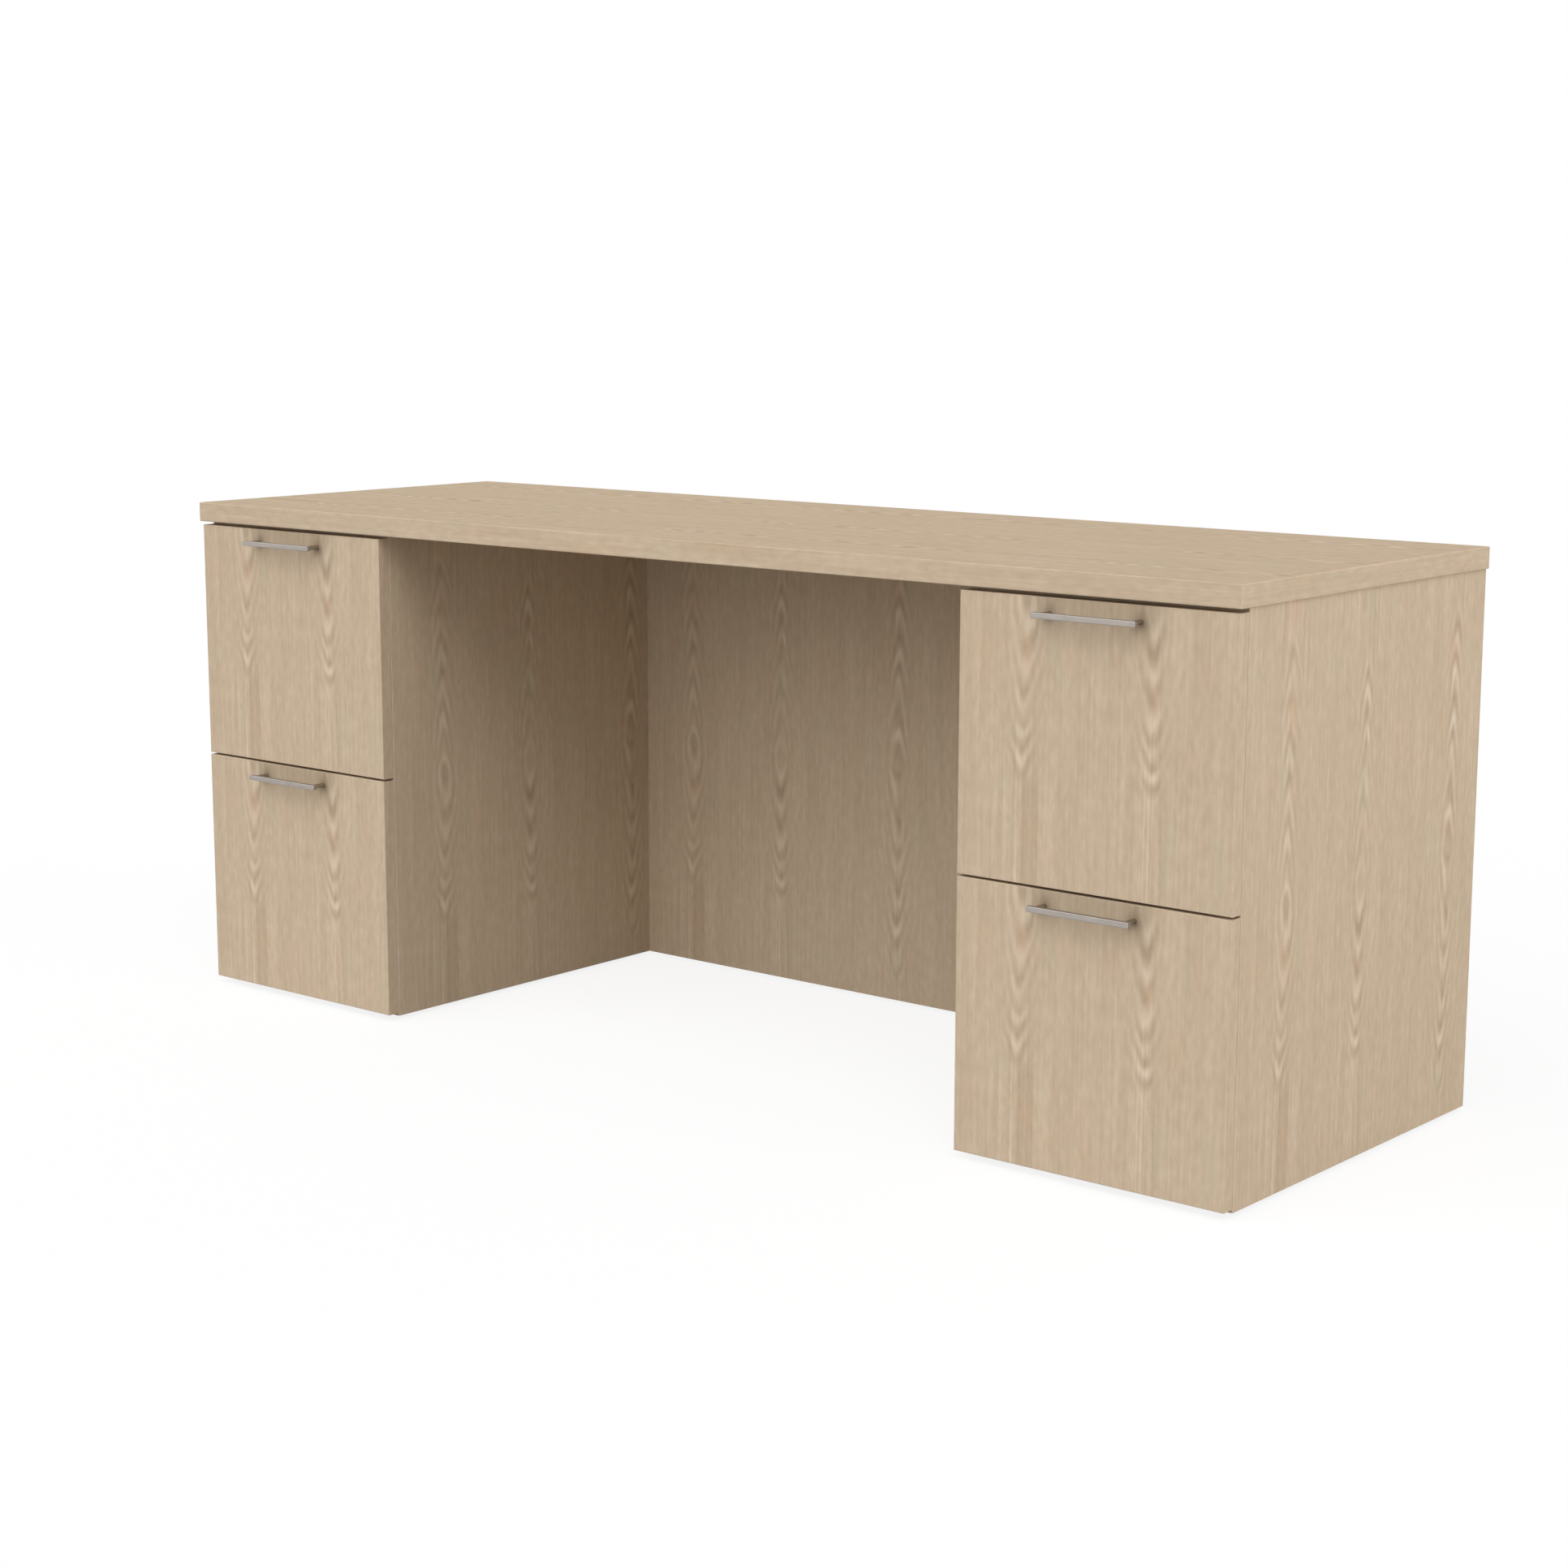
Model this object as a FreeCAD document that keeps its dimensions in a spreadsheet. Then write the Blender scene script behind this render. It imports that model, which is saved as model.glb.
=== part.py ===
import FreeCAD, Part
import math
import os
import re
import Sketcher

# Driving dimensions of the credenza, in millimetres
SIZES = {
    # Worktop
    "worktop_width": 1828.8,
    "worktop_depth": 609.6,
    "worktop_thickness": 28.6,
    "worktop_edge_radius": 1.5,
    "overall_height": 749.3,
    "side_overhang": 3.6,
    "front_overhang": 3.6,
    "rear_overhang": 1.6,
    # Pedestal cases
    "pedestal_width": 392.6,
    "panel_thickness": 19.05,
    "panel_edge_radius": 1.0,
    "back_recess": 15.0,
    "bottom_rise": 6.0,
    "rail_depth": 90.0,
    # Levelling glides
    "glide_height": 6.35,
    "glide_foot_thickness": 5.0,
    "glide_foot_diameter": 28.0,
    "glide_foot_bevel": 1.5,
    "glide_stem_diameter": 8.0,
    "glide_stem_cover": 5.0,
    "glide_inset": 55.0,
    # Drawer fronts
    "front_thickness": 19.05,
    "front_standoff": 0.6,
    "front_reveal": 0.5,
    "front_top_gap": 5.2,
    "front_bottom_gap": 4.2,
    "front_between_gap": 3.2,
    # Bar pulls
    "pull_length": 146.0,
    "pull_bar_height": 7.2,
    "pull_bar_depth": 7.2,
    "pull_projection": 28.0,
    "pull_post_inset": 9.0,
    "pull_post_diameter": 6.4,
    "pull_drop": 19.4,
    "pull_edge_radius": 1.0,
    # Drawer boxes
    "box_board": 12.0,
    "box_floor_gap": 7.0,
    "box_top_gap": 69.0,
    "box_rear_gap": 43.3,
    "rabbet_depth": 6.0,
    "groove_rise": 12.0,
    "groove_depth": 6.0,
    "box_bottom_thickness": 6.35,
    # Hanging file rails
    "file_rail_wall": 1.6,
    "file_rail_leg": 10.0,
    "file_rail_lip": 12.0,
    "file_rail_end_gap": 2.0,
    # Telescopic slides
    "slide_space": 12.7,
    "slide_height": 45.7,
    "slide_sheet": 1.2,
    "slide_lip": 1.3,
    "slide_bend_radius": 0.9,
    "slide_mouth_gap": 2.5,
    "slide_setback": 2.0,
    "slide_rear_gap": 48.7,
    "slide_rise": 70.0,
    "slide_hole_diameter": 4.4,
    "case_hole_front_inset": 30.0,
    "case_hole_rear_inset": 35.0,
    "case_hole_rear_spacing": 90.0,
    "drawer_hole_inset": 40.0,
    "ball_gap": 3.2,
    "cage_space": 1.4,
    "cage_sheet": 0.6,
    "cage_length": 150.0,
    # Dowels
    "dowel_diameter": 8.0,
    "dowel_side_cover": 7.05,
    "dowel_edge_depth": 18.0,
    "dowel_inset": 60.0,
    "knee_dowel_inset": 100.0,
    # Cam fittings of the kneespace back panel
    "cam_diameter": 15.0,
    "cam_cover": 5.05,
    "cam_setback": 24.0,
    "cam_inset": 160.0,
    "cam_slot_length": 10.0,
    "cam_slot_width": 2.0,
    "cam_slot_depth": 2.0,
    "cam_bolt_diameter": 6.0,
    "cam_bolt_side_cover": 8.05,
    "cam_bolt_clearance": 0.6,
    # Worktop screws
    "worktop_screw_diameter": 4.5,
    "worktop_screw_reach": 14.0,
    "worktop_screw_inset": 60.0,
    "worktop_screw_clearance": 0.6,
    "worktop_screw_head_diameter": 9.0,
    "worktop_screw_head_height": 3.0,
}

# Sizes and places that follow from the driving dimensions, as formulas
CASE_TOP = "(overall_height - worktop_thickness)"
CASE_HEIGHT = f"({CASE_TOP} - glide_height)"
CASE_SETBACK = "(front_overhang + front_thickness + front_standoff)"
CASE_DEPTH = f"(worktop_depth - {CASE_SETBACK} - rear_overhang)"
INNER_WIDTH = "(pedestal_width - 2 * panel_thickness)"
INNER_DEPTH = f"({CASE_DEPTH} - back_recess - panel_thickness)"
KNEE_WIDTH = "(worktop_width - 2 * side_overhang - 2 * pedestal_width)"
PANEL_MIDDLE = "(panel_thickness / 2)"
DOWEL_SIDE_DEPTH = "(panel_thickness - dowel_side_cover)"
GLIDE_STEM_DEPTH = "(panel_thickness - glide_stem_cover)"
CAM_DEPTH = "(panel_thickness - cam_cover)"
CAM_BOLT_SIDE_DEPTH = "(panel_thickness - cam_bolt_side_cover)"
CAM_BOLT_HOLE = "(cam_bolt_diameter + cam_bolt_clearance)"

WORKTOP_FRONT = "((pull_projection - front_overhang - worktop_depth) / 2)"
FRONT_FACE = f"({WORKTOP_FRONT} + front_overhang)"
FRONT_BACK = f"({FRONT_FACE} + front_thickness)"
CASE_FRONT = f"({WORKTOP_FRONT} + {CASE_SETBACK})"
BACK_FACE = f"({CASE_FRONT} + {INNER_DEPTH})"

FRONT_WIDTH = "(pedestal_width - 2 * front_reveal)"
FRONT_HEIGHT = f"(({CASE_HEIGHT} - front_bottom_gap - front_between_gap - front_top_gap) / 2)"

BOX_RISE = "(bottom_rise + panel_thickness + box_floor_gap - front_bottom_gap)"
BOX_WIDTH = f"({INNER_WIDTH} - 2 * slide_space)"
BOX_DEPTH = f"({INNER_DEPTH} + front_standoff - box_rear_gap)"
BOX_HEIGHT = f"({FRONT_HEIGHT} - {BOX_RISE} - box_top_gap)"

SLIDE_LENGTH = f"({INNER_DEPTH} - slide_setback - slide_rear_gap)"
SLIDE_FRONT = f"({CASE_FRONT} + slide_setback)"
MIDDLE_WEB = "(slide_sheet + cage_space)"
DRAWER_MOUTH = f"({MIDDLE_WEB} + slide_sheet + cage_space)"
SLIDE_MOUTH = "(slide_space - slide_mouth_gap)"
CASE_HALF = "(slide_height / 2)"
MIDDLE_HALF = f"({CASE_HALF} - slide_sheet - ball_gap)"
DRAWER_HALF = f"({MIDDLE_HALF} - slide_sheet - ball_gap)"
CASE_HOLE_REAR = f"({SLIDE_LENGTH} - case_hole_rear_inset)"
CASE_HOLES = ("case_hole_front_inset", f"({CASE_HOLE_REAR} - case_hole_rear_spacing)", CASE_HOLE_REAR)
DRAWER_HOLES = ("drawer_hole_inset", f"({SLIDE_LENGTH} / 2)", f"({SLIDE_LENGTH} - drawer_hole_inset)")
CAGE_MARGIN = "((cage_space - cage_sheet) / 2)"
CAGE_RISE = "((ball_gap - cage_sheet) / 2)"

# Left face of each pedestal, and lower edge of the drawer fronts at each level
PEDESTALS = {
    "left": "(side_overhang - worktop_width / 2)",
    "right": "(worktop_width / 2 - side_overhang - pedestal_width)",
}
LEVELS = {
    "upper": f"(glide_height + front_bottom_gap + {FRONT_HEIGHT} + front_between_gap)",
    "lower": "(glide_height + front_bottom_gap)",
}

# Origin plane square to each axis, and the way that the plane faces along it
PLANES = {"X": ("YZ_Plane", 1), "Y": ("XZ_Plane", -1), "Z": ("XY_Plane", 1)}
# Turn that lays an upright cylinder along X
ALONG_X = FreeCAD.Rotation(FreeCAD.Vector(0, 1, 0), 90)
# Any size will do for a sketch before its formulas are worked out
SKETCH_START = 10.0
TOLERANCE = 1e-6

doc = FreeCAD.newDocument("KneespaceCredenza")
sheet = doc.addObject("Spreadsheet::Sheet", "Sizes")
for row, (alias, size) in enumerate(SIZES.items(), start=1):
    sheet.set(f"A{row}", alias)
    sheet.set(f"B{row}", str(size))
    sheet.setAlias(f"B{row}", alias)
doc.recompute()
nodes = []


def bound(formula):
    """The formula with the sheet's name before each driving dimension."""
    return re.sub(r"[a-z_]+", lambda word: f"Sizes.{word[0]}" if word[0] in SIZES else word[0], formula)


def place(piece, x, y, z):
    """Binds the place of a piece's own origin."""
    for axis, formula in zip("xyz", (x, y, z)):
        piece.setExpression(f"Placement.Base.{axis}", bound(formula))


def new_body(label):
    """An empty body under its own label."""
    body = doc.addObject("PartDesign::Body", "Body")
    body.Label = label
    return body


def sketch_across(body, axis, level):
    """A sketch square to one of the body's axes, at a level along that axis."""
    role, facing = PLANES[axis]
    plane = next(feature for feature in body.Origin.OriginFeatures if feature.Role == role)
    sketch = body.newObject("Sketcher::SketchObject", "Sketch")
    sketch.AttachmentSupport = [(plane, "")]
    sketch.MapMode = "FlatFace"
    sketch.setExpression("AttachmentOffset.Base.z", bound(f"{facing} * ({level})"))
    return sketch


def pin_point(sketch, geometry, position, start, spot):
    """Holds a point of a sketch at two distances from the sketch's origin."""
    for kind, value, formula in zip(("DistanceX", "DistanceY"), (start.x, start.y), spot):
        index = sketch.addConstraint(Sketcher.Constraint(kind, -1, 1, geometry, position, value))
        sketch.setExpression(f"Constraints[{index}]", bound(formula))


def draw_outline(sketch, points):
    """Adds a closed outline of straight lines through points given as formulas."""
    first = sketch.GeometryCount
    turn = 2 * math.pi / len(points)
    corners = [
        FreeCAD.Vector(SKETCH_START * math.cos(step * turn), SKETCH_START * math.sin(step * turn), 0)
        for step in range(len(points))
    ]
    following = corners[1:] + corners[:1]
    for start, end in zip(corners, following):
        sketch.addGeometry(Part.LineSegment(start, end), False)
    for step in range(len(points)):
        neighbour = first + (step + 1) % len(points)
        sketch.addConstraint(Sketcher.Constraint("Coincident", first + step, 2, neighbour, 1))
    for step, point in enumerate(points):
        pin_point(sketch, first + step, 1, corners[step], point)


def draw_circles(sketch, spots, diameter):
    """Adds circles of one diameter, centred at spots given as formulas."""
    for step, spot in enumerate(spots, start=1):
        centre = FreeCAD.Vector(SKETCH_START * step, SKETCH_START * step, 0)
        circle = sketch.addGeometry(Part.Circle(centre, FreeCAD.Vector(0, 0, 1), 1.0), False)
        index = sketch.addConstraint(Sketcher.Constraint("Diameter", circle, 2.0))
        sketch.setExpression(f"Constraints[{index}]", bound(diameter))
        pin_point(sketch, circle, 3, centre, spot)


def rectangle(left, right, low, high):
    """The corners of a rectangle, as formulas."""
    return [(left, low), (right, low), (right, high), (left, high)]


def pad(body, sketch, axis, towards, length):
    """Pads a sketch along its axis, towards the plus or the minus end."""
    feature = body.newObject("PartDesign::Pad", "Pad")
    feature.Profile = sketch
    feature.Reversed = PLANES[axis][1] != towards
    feature.setExpression("Length", bound(length))
    return feature


def pocket(body, sketch, axis, towards, depth):
    """Cuts a sketch into the body, towards the plus or the minus end of its axis."""
    feature = body.newObject("PartDesign::Pocket", "Pocket")
    feature.Profile = sketch
    feature.Reversed = PLANES[axis][1] == towards
    feature.setExpression("Length", bound(depth))
    return feature


def bore(body, axis, level, towards, spots, diameter, depth):
    """Bores round holes from a level of the body along an axis."""
    sketch = sketch_across(body, axis, level)
    draw_circles(sketch, spots, diameter)
    pocket(body, sketch, axis, towards, depth)


def cut_rectangles(body, axis, level, towards, rectangles, depth):
    """Cuts rectangular grooves from a level of the body along an axis."""
    sketch = sketch_across(body, axis, level)
    for corners in rectangles:
        draw_outline(sketch, corners)
    pocket(body, sketch, axis, towards, depth)


def round_edges(body, feature, radius, wanted):
    """Rounds the edges of a feature for which the test answers yes."""
    doc.recompute()
    names = [f"Edge{number}" for number, edge in enumerate(feature.Shape.Edges, start=1) if wanted(edge)]
    fillet = body.newObject("PartDesign::Fillet", "Fillet")
    fillet.Base = (feature, names)
    fillet.setExpression("Radius", bound(radius))
    return fillet


def on_plane(edge, axis, level):
    """Whether a whole edge lies in a plane square to an axis."""
    return all(abs(getattr(vertex.Point, axis) - level) < TOLERANCE for vertex in edge.Vertexes)


def runs_along(edge, axis):
    """Whether a straight edge runs along an axis."""
    start, end = (vertex.Point for vertex in edge.Vertexes)
    return abs(abs(getattr(end - start, axis)) - edge.Length) < TOLERANCE


def board(label, width, depth, height):
    """A board cut to size, with its lowest front left corner at its own origin."""
    body = new_body(label)
    sketch = sketch_across(body, "Z", "0")
    draw_outline(sketch, rectangle("0", width, "0", depth))
    pad(body, sketch, "Z", 1, height)
    return body


def turned(label, profile):
    """A round piece turned about its own upright axis from half of its outline."""
    body = new_body(label)
    sketch = sketch_across(body, "Y", "0")
    draw_outline(sketch, profile)
    feature = body.newObject("PartDesign::Revolution", "Revolution")
    feature.Profile = sketch
    feature.ReferenceAxis = (sketch, ["V_Axis"])
    return body


def pin_along_x(label, diameter, length):
    """A plain round pin that starts at its own origin and runs along X."""
    pin = doc.addObject("Part::Cylinder", "Pin")
    pin.Label = label
    pin.Placement = FreeCAD.Placement(FreeCAD.Vector(), ALONG_X)
    pin.setExpression("Radius", bound(f"{diameter} / 2"))
    pin.setExpression("Height", bound(length))
    return pin


def single(body):
    """Keeps one body as a node."""
    nodes.append(body)


def group(label, members):
    """Keeps several separate solids together as one node."""
    compound = doc.addObject("Part::Compound", "Group")
    compound.Label = label
    compound.Links = members
    nodes.append(compound)


# Spots of the joints on a pedestal side, from its front edge and its lower edge
BACK_MIDDLE = f"({INNER_DEPTH} + {PANEL_MIDDLE})"
BOTTOM_SPOTS = [
    (y, f"(bottom_rise + {PANEL_MIDDLE})") for y in ("dowel_inset", f"({INNER_DEPTH} - dowel_inset)")
]
BACK_SPOTS = [(BACK_MIDDLE, z) for z in ("dowel_inset", f"({CASE_HEIGHT} - dowel_inset)")]
RAIL_STARTS = {"front": "0", "rear": f"({INNER_DEPTH} - rail_depth)"}
RAIL_SPOTS = [
    (f"({start} + rail_depth / 2)", f"({CASE_HEIGHT} - {PANEL_MIDDLE})") for start in RAIL_STARTS.values()
]
PEDESTAL_SPOTS = BOTTOM_SPOTS + BACK_SPOTS + RAIL_SPOTS
KNEE_DOWEL_SPOTS = [(BACK_MIDDLE, z) for z in ("knee_dowel_inset", f"({CASE_HEIGHT} - knee_dowel_inset)")]
KNEE_CAM_SPOTS = [(BACK_MIDDLE, z) for z in ("cam_inset", f"({CASE_HEIGHT} - cam_inset)")]
RAIL_SCREW_INSETS = ("worktop_screw_inset", f"({INNER_WIDTH} - worktop_screw_inset)")
GLIDE_SPOTS = [
    (x, y)
    for x in ("glide_inset", f"({INNER_WIDTH} - glide_inset)")
    for y in ("glide_inset", f"({INNER_DEPTH} - glide_inset)")
]


def build_worktop():
    """The worktop with eased edges, and pilot holes for the screws that come up through the rails."""
    body = board("worktop", "worktop_width", "worktop_depth", "worktop_thickness")
    round_edges(body, body.Tip, "worktop_edge_radius", lambda edge: True)
    across = [
        f"(worktop_width / 2 + {left} + panel_thickness + {inset})"
        for left in PEDESTALS.values()
        for inset in RAIL_SCREW_INSETS
    ]
    along = [f"({CASE_SETBACK} + {start} + rail_depth / 2)" for start in RAIL_STARTS.values()]
    spots = [(x, y) for x in across for y in along]
    bore(body, "Z", "0", 1, spots, "worktop_screw_diameter", "worktop_screw_reach")
    place(body, "-worktop_width / 2", WORKTOP_FRONT, CASE_TOP)
    single(body)


def build_side(label, x, inward, faces_knee):
    """A pedestal side with eased front edges, bored for the boards that meet it."""
    body = board(label, "panel_thickness", CASE_DEPTH, CASE_HEIGHT)
    round_edges(
        body,
        body.Tip,
        "panel_edge_radius",
        lambda edge: on_plane(edge, "y", 0) and runs_along(edge, "z"),
    )
    inner_face, knee_face = ("panel_thickness", "0") if inward > 0 else ("0", "panel_thickness")
    bore(body, "X", inner_face, -inward, PEDESTAL_SPOTS, "dowel_diameter", DOWEL_SIDE_DEPTH)
    if faces_knee:
        bore(body, "X", knee_face, inward, KNEE_DOWEL_SPOTS, "dowel_diameter", DOWEL_SIDE_DEPTH)
        bore(body, "X", knee_face, inward, KNEE_CAM_SPOTS, "cam_bolt_diameter", CAM_BOLT_SIDE_DEPTH)
    place(body, x, CASE_FRONT, "glide_height")
    single(body)


def bore_both_ends(body, width, spots, diameter, depth):
    """Bores the same holes into a board's left and right ends."""
    bore(body, "X", "0", 1, spots, diameter, depth)
    bore(body, "X", width, -1, spots, diameter, depth)


def build_pedestal(name, left):
    """The fixed boards of one pedestal."""
    inner_left = f"({left} + panel_thickness)"
    right = f"({left} + pedestal_width - panel_thickness)"
    left_label, right_label = ("outer", "inner") if name == "left" else ("inner", "outer")
    build_side(f"{name}_{left_label}_side", left, 1, left_label == "inner")
    build_side(f"{name}_{right_label}_side", right, -1, right_label == "inner")

    back = board(f"{name}_pedestal_back", INNER_WIDTH, "panel_thickness", CASE_HEIGHT)
    back_spots = [(PANEL_MIDDLE, z) for _, z in BACK_SPOTS]
    bore_both_ends(back, INNER_WIDTH, back_spots, "dowel_diameter", "dowel_edge_depth")
    place(back, inner_left, BACK_FACE, "glide_height")
    single(back)

    bottom = board(f"{name}_pedestal_bottom", INNER_WIDTH, INNER_DEPTH, "panel_thickness")
    bottom_spots = [(y, PANEL_MIDDLE) for y, _ in BOTTOM_SPOTS]
    bore_both_ends(bottom, INNER_WIDTH, bottom_spots, "dowel_diameter", "dowel_edge_depth")
    bore(bottom, "Z", "0", 1, GLIDE_SPOTS, "glide_stem_diameter", GLIDE_STEM_DEPTH)
    place(bottom, inner_left, CASE_FRONT, "glide_height + bottom_rise")
    single(bottom)

    rails = []
    for position, start in RAIL_STARTS.items():
        rail = board(f"{name}_{position}_rail", INNER_WIDTH, "rail_depth", "panel_thickness")
        rail_spots = [("rail_depth / 2", PANEL_MIDDLE)]
        bore_both_ends(rail, INNER_WIDTH, rail_spots, "dowel_diameter", "dowel_edge_depth")
        screw_spots = [(inset, "rail_depth / 2") for inset in RAIL_SCREW_INSETS]
        screw_hole = "worktop_screw_diameter + worktop_screw_clearance"
        bore(rail, "Z", "0", 1, screw_spots, screw_hole, "panel_thickness")
        place(rail, inner_left, f"{CASE_FRONT} + {start}", f"{CASE_TOP} - panel_thickness")
        rails.append(rail)
    group(f"{name}_top_rails", rails)


def build_knee_panel():
    """The panel that closes the kneespace at the back, bored for dowels and cam fittings."""
    body = board("kneespace_back_panel", KNEE_WIDTH, "panel_thickness", CASE_HEIGHT)
    dowel_spots = [(PANEL_MIDDLE, z) for _, z in KNEE_DOWEL_SPOTS]
    bore_both_ends(body, KNEE_WIDTH, dowel_spots, "dowel_diameter", "dowel_edge_depth")
    bolt_spots = [(PANEL_MIDDLE, z) for _, z in KNEE_CAM_SPOTS]
    bore_both_ends(body, KNEE_WIDTH, bolt_spots, CAM_BOLT_HOLE, "cam_setback")
    setbacks = ("cam_setback", f"({KNEE_WIDTH} - cam_setback)")
    cam_spots = [(x, z) for x in setbacks for _, z in KNEE_CAM_SPOTS]
    bore(body, "Y", "panel_thickness", -1, cam_spots, "cam_diameter", CAM_DEPTH)
    place(body, f"-{KNEE_WIDTH} / 2", BACK_FACE, "glide_height")
    single(body)


def build_glides():
    """A levelling glide under each corner of each pedestal, with its stem in the bottom board."""
    foot = "(glide_foot_diameter / 2)"
    stem = "(glide_stem_diameter / 2)"
    top = f"(glide_height + bottom_rise + {GLIDE_STEM_DEPTH})"
    profile = [
        ("0", "0"),
        (f"{foot} - glide_foot_bevel", "0"),
        (foot, "glide_foot_bevel"),
        (foot, "glide_foot_thickness"),
        (stem, "glide_foot_thickness"),
        (stem, top),
        ("0", top),
    ]
    glides = []
    for name, left in PEDESTALS.items():
        for number, (x, y) in enumerate(GLIDE_SPOTS, start=1):
            glide = turned(f"{name}_glide_{number}", profile)
            place(glide, f"{left} + panel_thickness + {x}", f"{CASE_FRONT} + {y}", "0")
            glides.append(glide)
    group("levelling_glides", glides)


def build_dowels():
    """The dowels of every joint, each partly in a pedestal side and partly in a board's end."""
    dowels = []
    length = f"({DOWEL_SIDE_DEPTH} + dowel_edge_depth)"
    for name, left in PEDESTALS.items():
        starts = {
            "left": f"{left} + panel_thickness - {DOWEL_SIDE_DEPTH}",
            "right": f"{left} + pedestal_width - panel_thickness - dowel_edge_depth",
        }
        for end, start in starts.items():
            for number, (y, z) in enumerate(PEDESTAL_SPOTS, start=1):
                dowel = pin_along_x(f"{name}_pedestal_{end}_dowel_{number}", "dowel_diameter", length)
                place(dowel, start, f"{CASE_FRONT} + {y}", f"glide_height + {z}")
                dowels.append(dowel)
    knee_starts = {
        "left": f"-{KNEE_WIDTH} / 2 - {DOWEL_SIDE_DEPTH}",
        "right": f"{KNEE_WIDTH} / 2 - dowel_edge_depth",
    }
    for end, start in knee_starts.items():
        for number, (y, z) in enumerate(KNEE_DOWEL_SPOTS, start=1):
            dowel = pin_along_x(f"knee_{end}_dowel_{number}", "dowel_diameter", length)
            place(dowel, start, f"{CASE_FRONT} + {y}", f"glide_height + {z}")
            dowels.append(dowel)
    group("panel_dowels", dowels)


def cam(label, from_end):
    """A slotted round cam, bored on the side from which its bolt comes."""
    body = new_body(label)
    sketch = sketch_across(body, "Y", "0")
    draw_circles(sketch, [("0", "0")], "cam_diameter")
    pad(body, sketch, "Y", -1, CAM_DEPTH)
    half_length = "(cam_slot_length / 2)"
    half_width = "(cam_slot_width / 2)"
    slot = rectangle(f"-{half_length}", half_length, f"-{half_width}", half_width)
    cut_rectangles(body, "Y", "0", -1, [slot], "cam_slot_depth")
    rim = f"{from_end} * cam_diameter / 2"
    bolt_depth = f"cam_diameter / 2 + {CAM_BOLT_HOLE} / 2"
    bore(body, "X", rim, -from_end, [(f"-{PANEL_MIDDLE}", "0")], CAM_BOLT_HOLE, bolt_depth)
    return body


def build_cams():
    """The cams let into the back of the kneespace panel, and the bolts that they draw in."""
    fittings = []
    length = f"({CAM_BOLT_SIDE_DEPTH} + cam_setback)"
    for end, from_end in (("left", -1), ("right", 1)):
        edge = f"({from_end} * {KNEE_WIDTH} / 2)"
        bolt_start = f"{edge} - {CAM_BOLT_SIDE_DEPTH}" if from_end < 0 else f"{edge} - cam_setback"
        for number, (y, z) in enumerate(KNEE_CAM_SPOTS, start=1):
            height = f"glide_height + {z}"
            fitting = cam(f"{end}_cam_{number}", from_end)
            place(fitting, f"{edge} - {from_end} * cam_setback", f"{BACK_FACE} + panel_thickness", height)
            bolt = pin_along_x(f"{end}_cam_bolt_{number}", "cam_bolt_diameter", length)
            place(bolt, bolt_start, f"{CASE_FRONT} + {y}", height)
            fittings += [fitting, bolt]
    group("panel_cams", fittings)


def build_worktop_screws():
    """The screws that hold the worktop down on the rails, heads below."""
    head = "(worktop_screw_head_diameter / 2)"
    shank = "(worktop_screw_diameter / 2)"
    under_rail = "worktop_screw_head_height"
    tip = f"({under_rail} + panel_thickness + worktop_screw_reach)"
    profile = [("0", "0"), (head, "0"), (head, under_rail), (shank, under_rail), (shank, tip), ("0", tip)]
    screws = []
    for name, left in PEDESTALS.items():
        for position, start in RAIL_STARTS.items():
            for number, inset in enumerate(RAIL_SCREW_INSETS, start=1):
                screw = turned(f"{name}_{position}_screw_{number}", profile)
                place(
                    screw,
                    f"{left} + panel_thickness + {inset}",
                    f"{CASE_FRONT} + {start} + rail_depth / 2",
                    f"{CASE_TOP} - panel_thickness - worktop_screw_head_height",
                )
                screws.append(screw)
    group("worktop_screws", screws)


def channel_outline(hand, opens, web, mouth, half_height):
    """The section of a lipped channel that opens towards the drawer at 1 or towards the case at -1."""
    inner_web = f"({web} + {opens} * slide_sheet)"
    inner_mouth = f"({mouth} - {opens} * slide_sheet)"
    inner_half = f"({half_height} - slide_sheet)"
    tip = f"({inner_half} - slide_lip)"
    upper = [
        (inner_web, inner_half),
        (inner_mouth, inner_half),
        (inner_mouth, tip),
        (mouth, tip),
        (mouth, half_height),
        (web, half_height),
    ]
    lower = [(across, f"-{up}") for across, up in reversed(upper)]
    return [(f"{hand} * {across}", up) for across, up in lower + upper]


def cage_outline(hand, web, mouth, half_height):
    """The section of a ball cage, a plain thin channel."""
    inner_web = f"({web} + cage_sheet)"
    inner_half = f"({half_height} - cage_sheet)"
    upper = [(inner_web, inner_half), (mouth, inner_half), (mouth, half_height), (web, half_height)]
    lower = [(across, f"-{up}") for across, up in reversed(upper)]
    return [(f"{hand} * {across}", up) for across, up in lower + upper]


def is_bend(edge, height):
    """Whether an edge runs along a slide at a height above or below its middle."""
    return runs_along(edge, "y") and (on_plane(edge, "z", height) or on_plane(edge, "z", -height))


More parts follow.
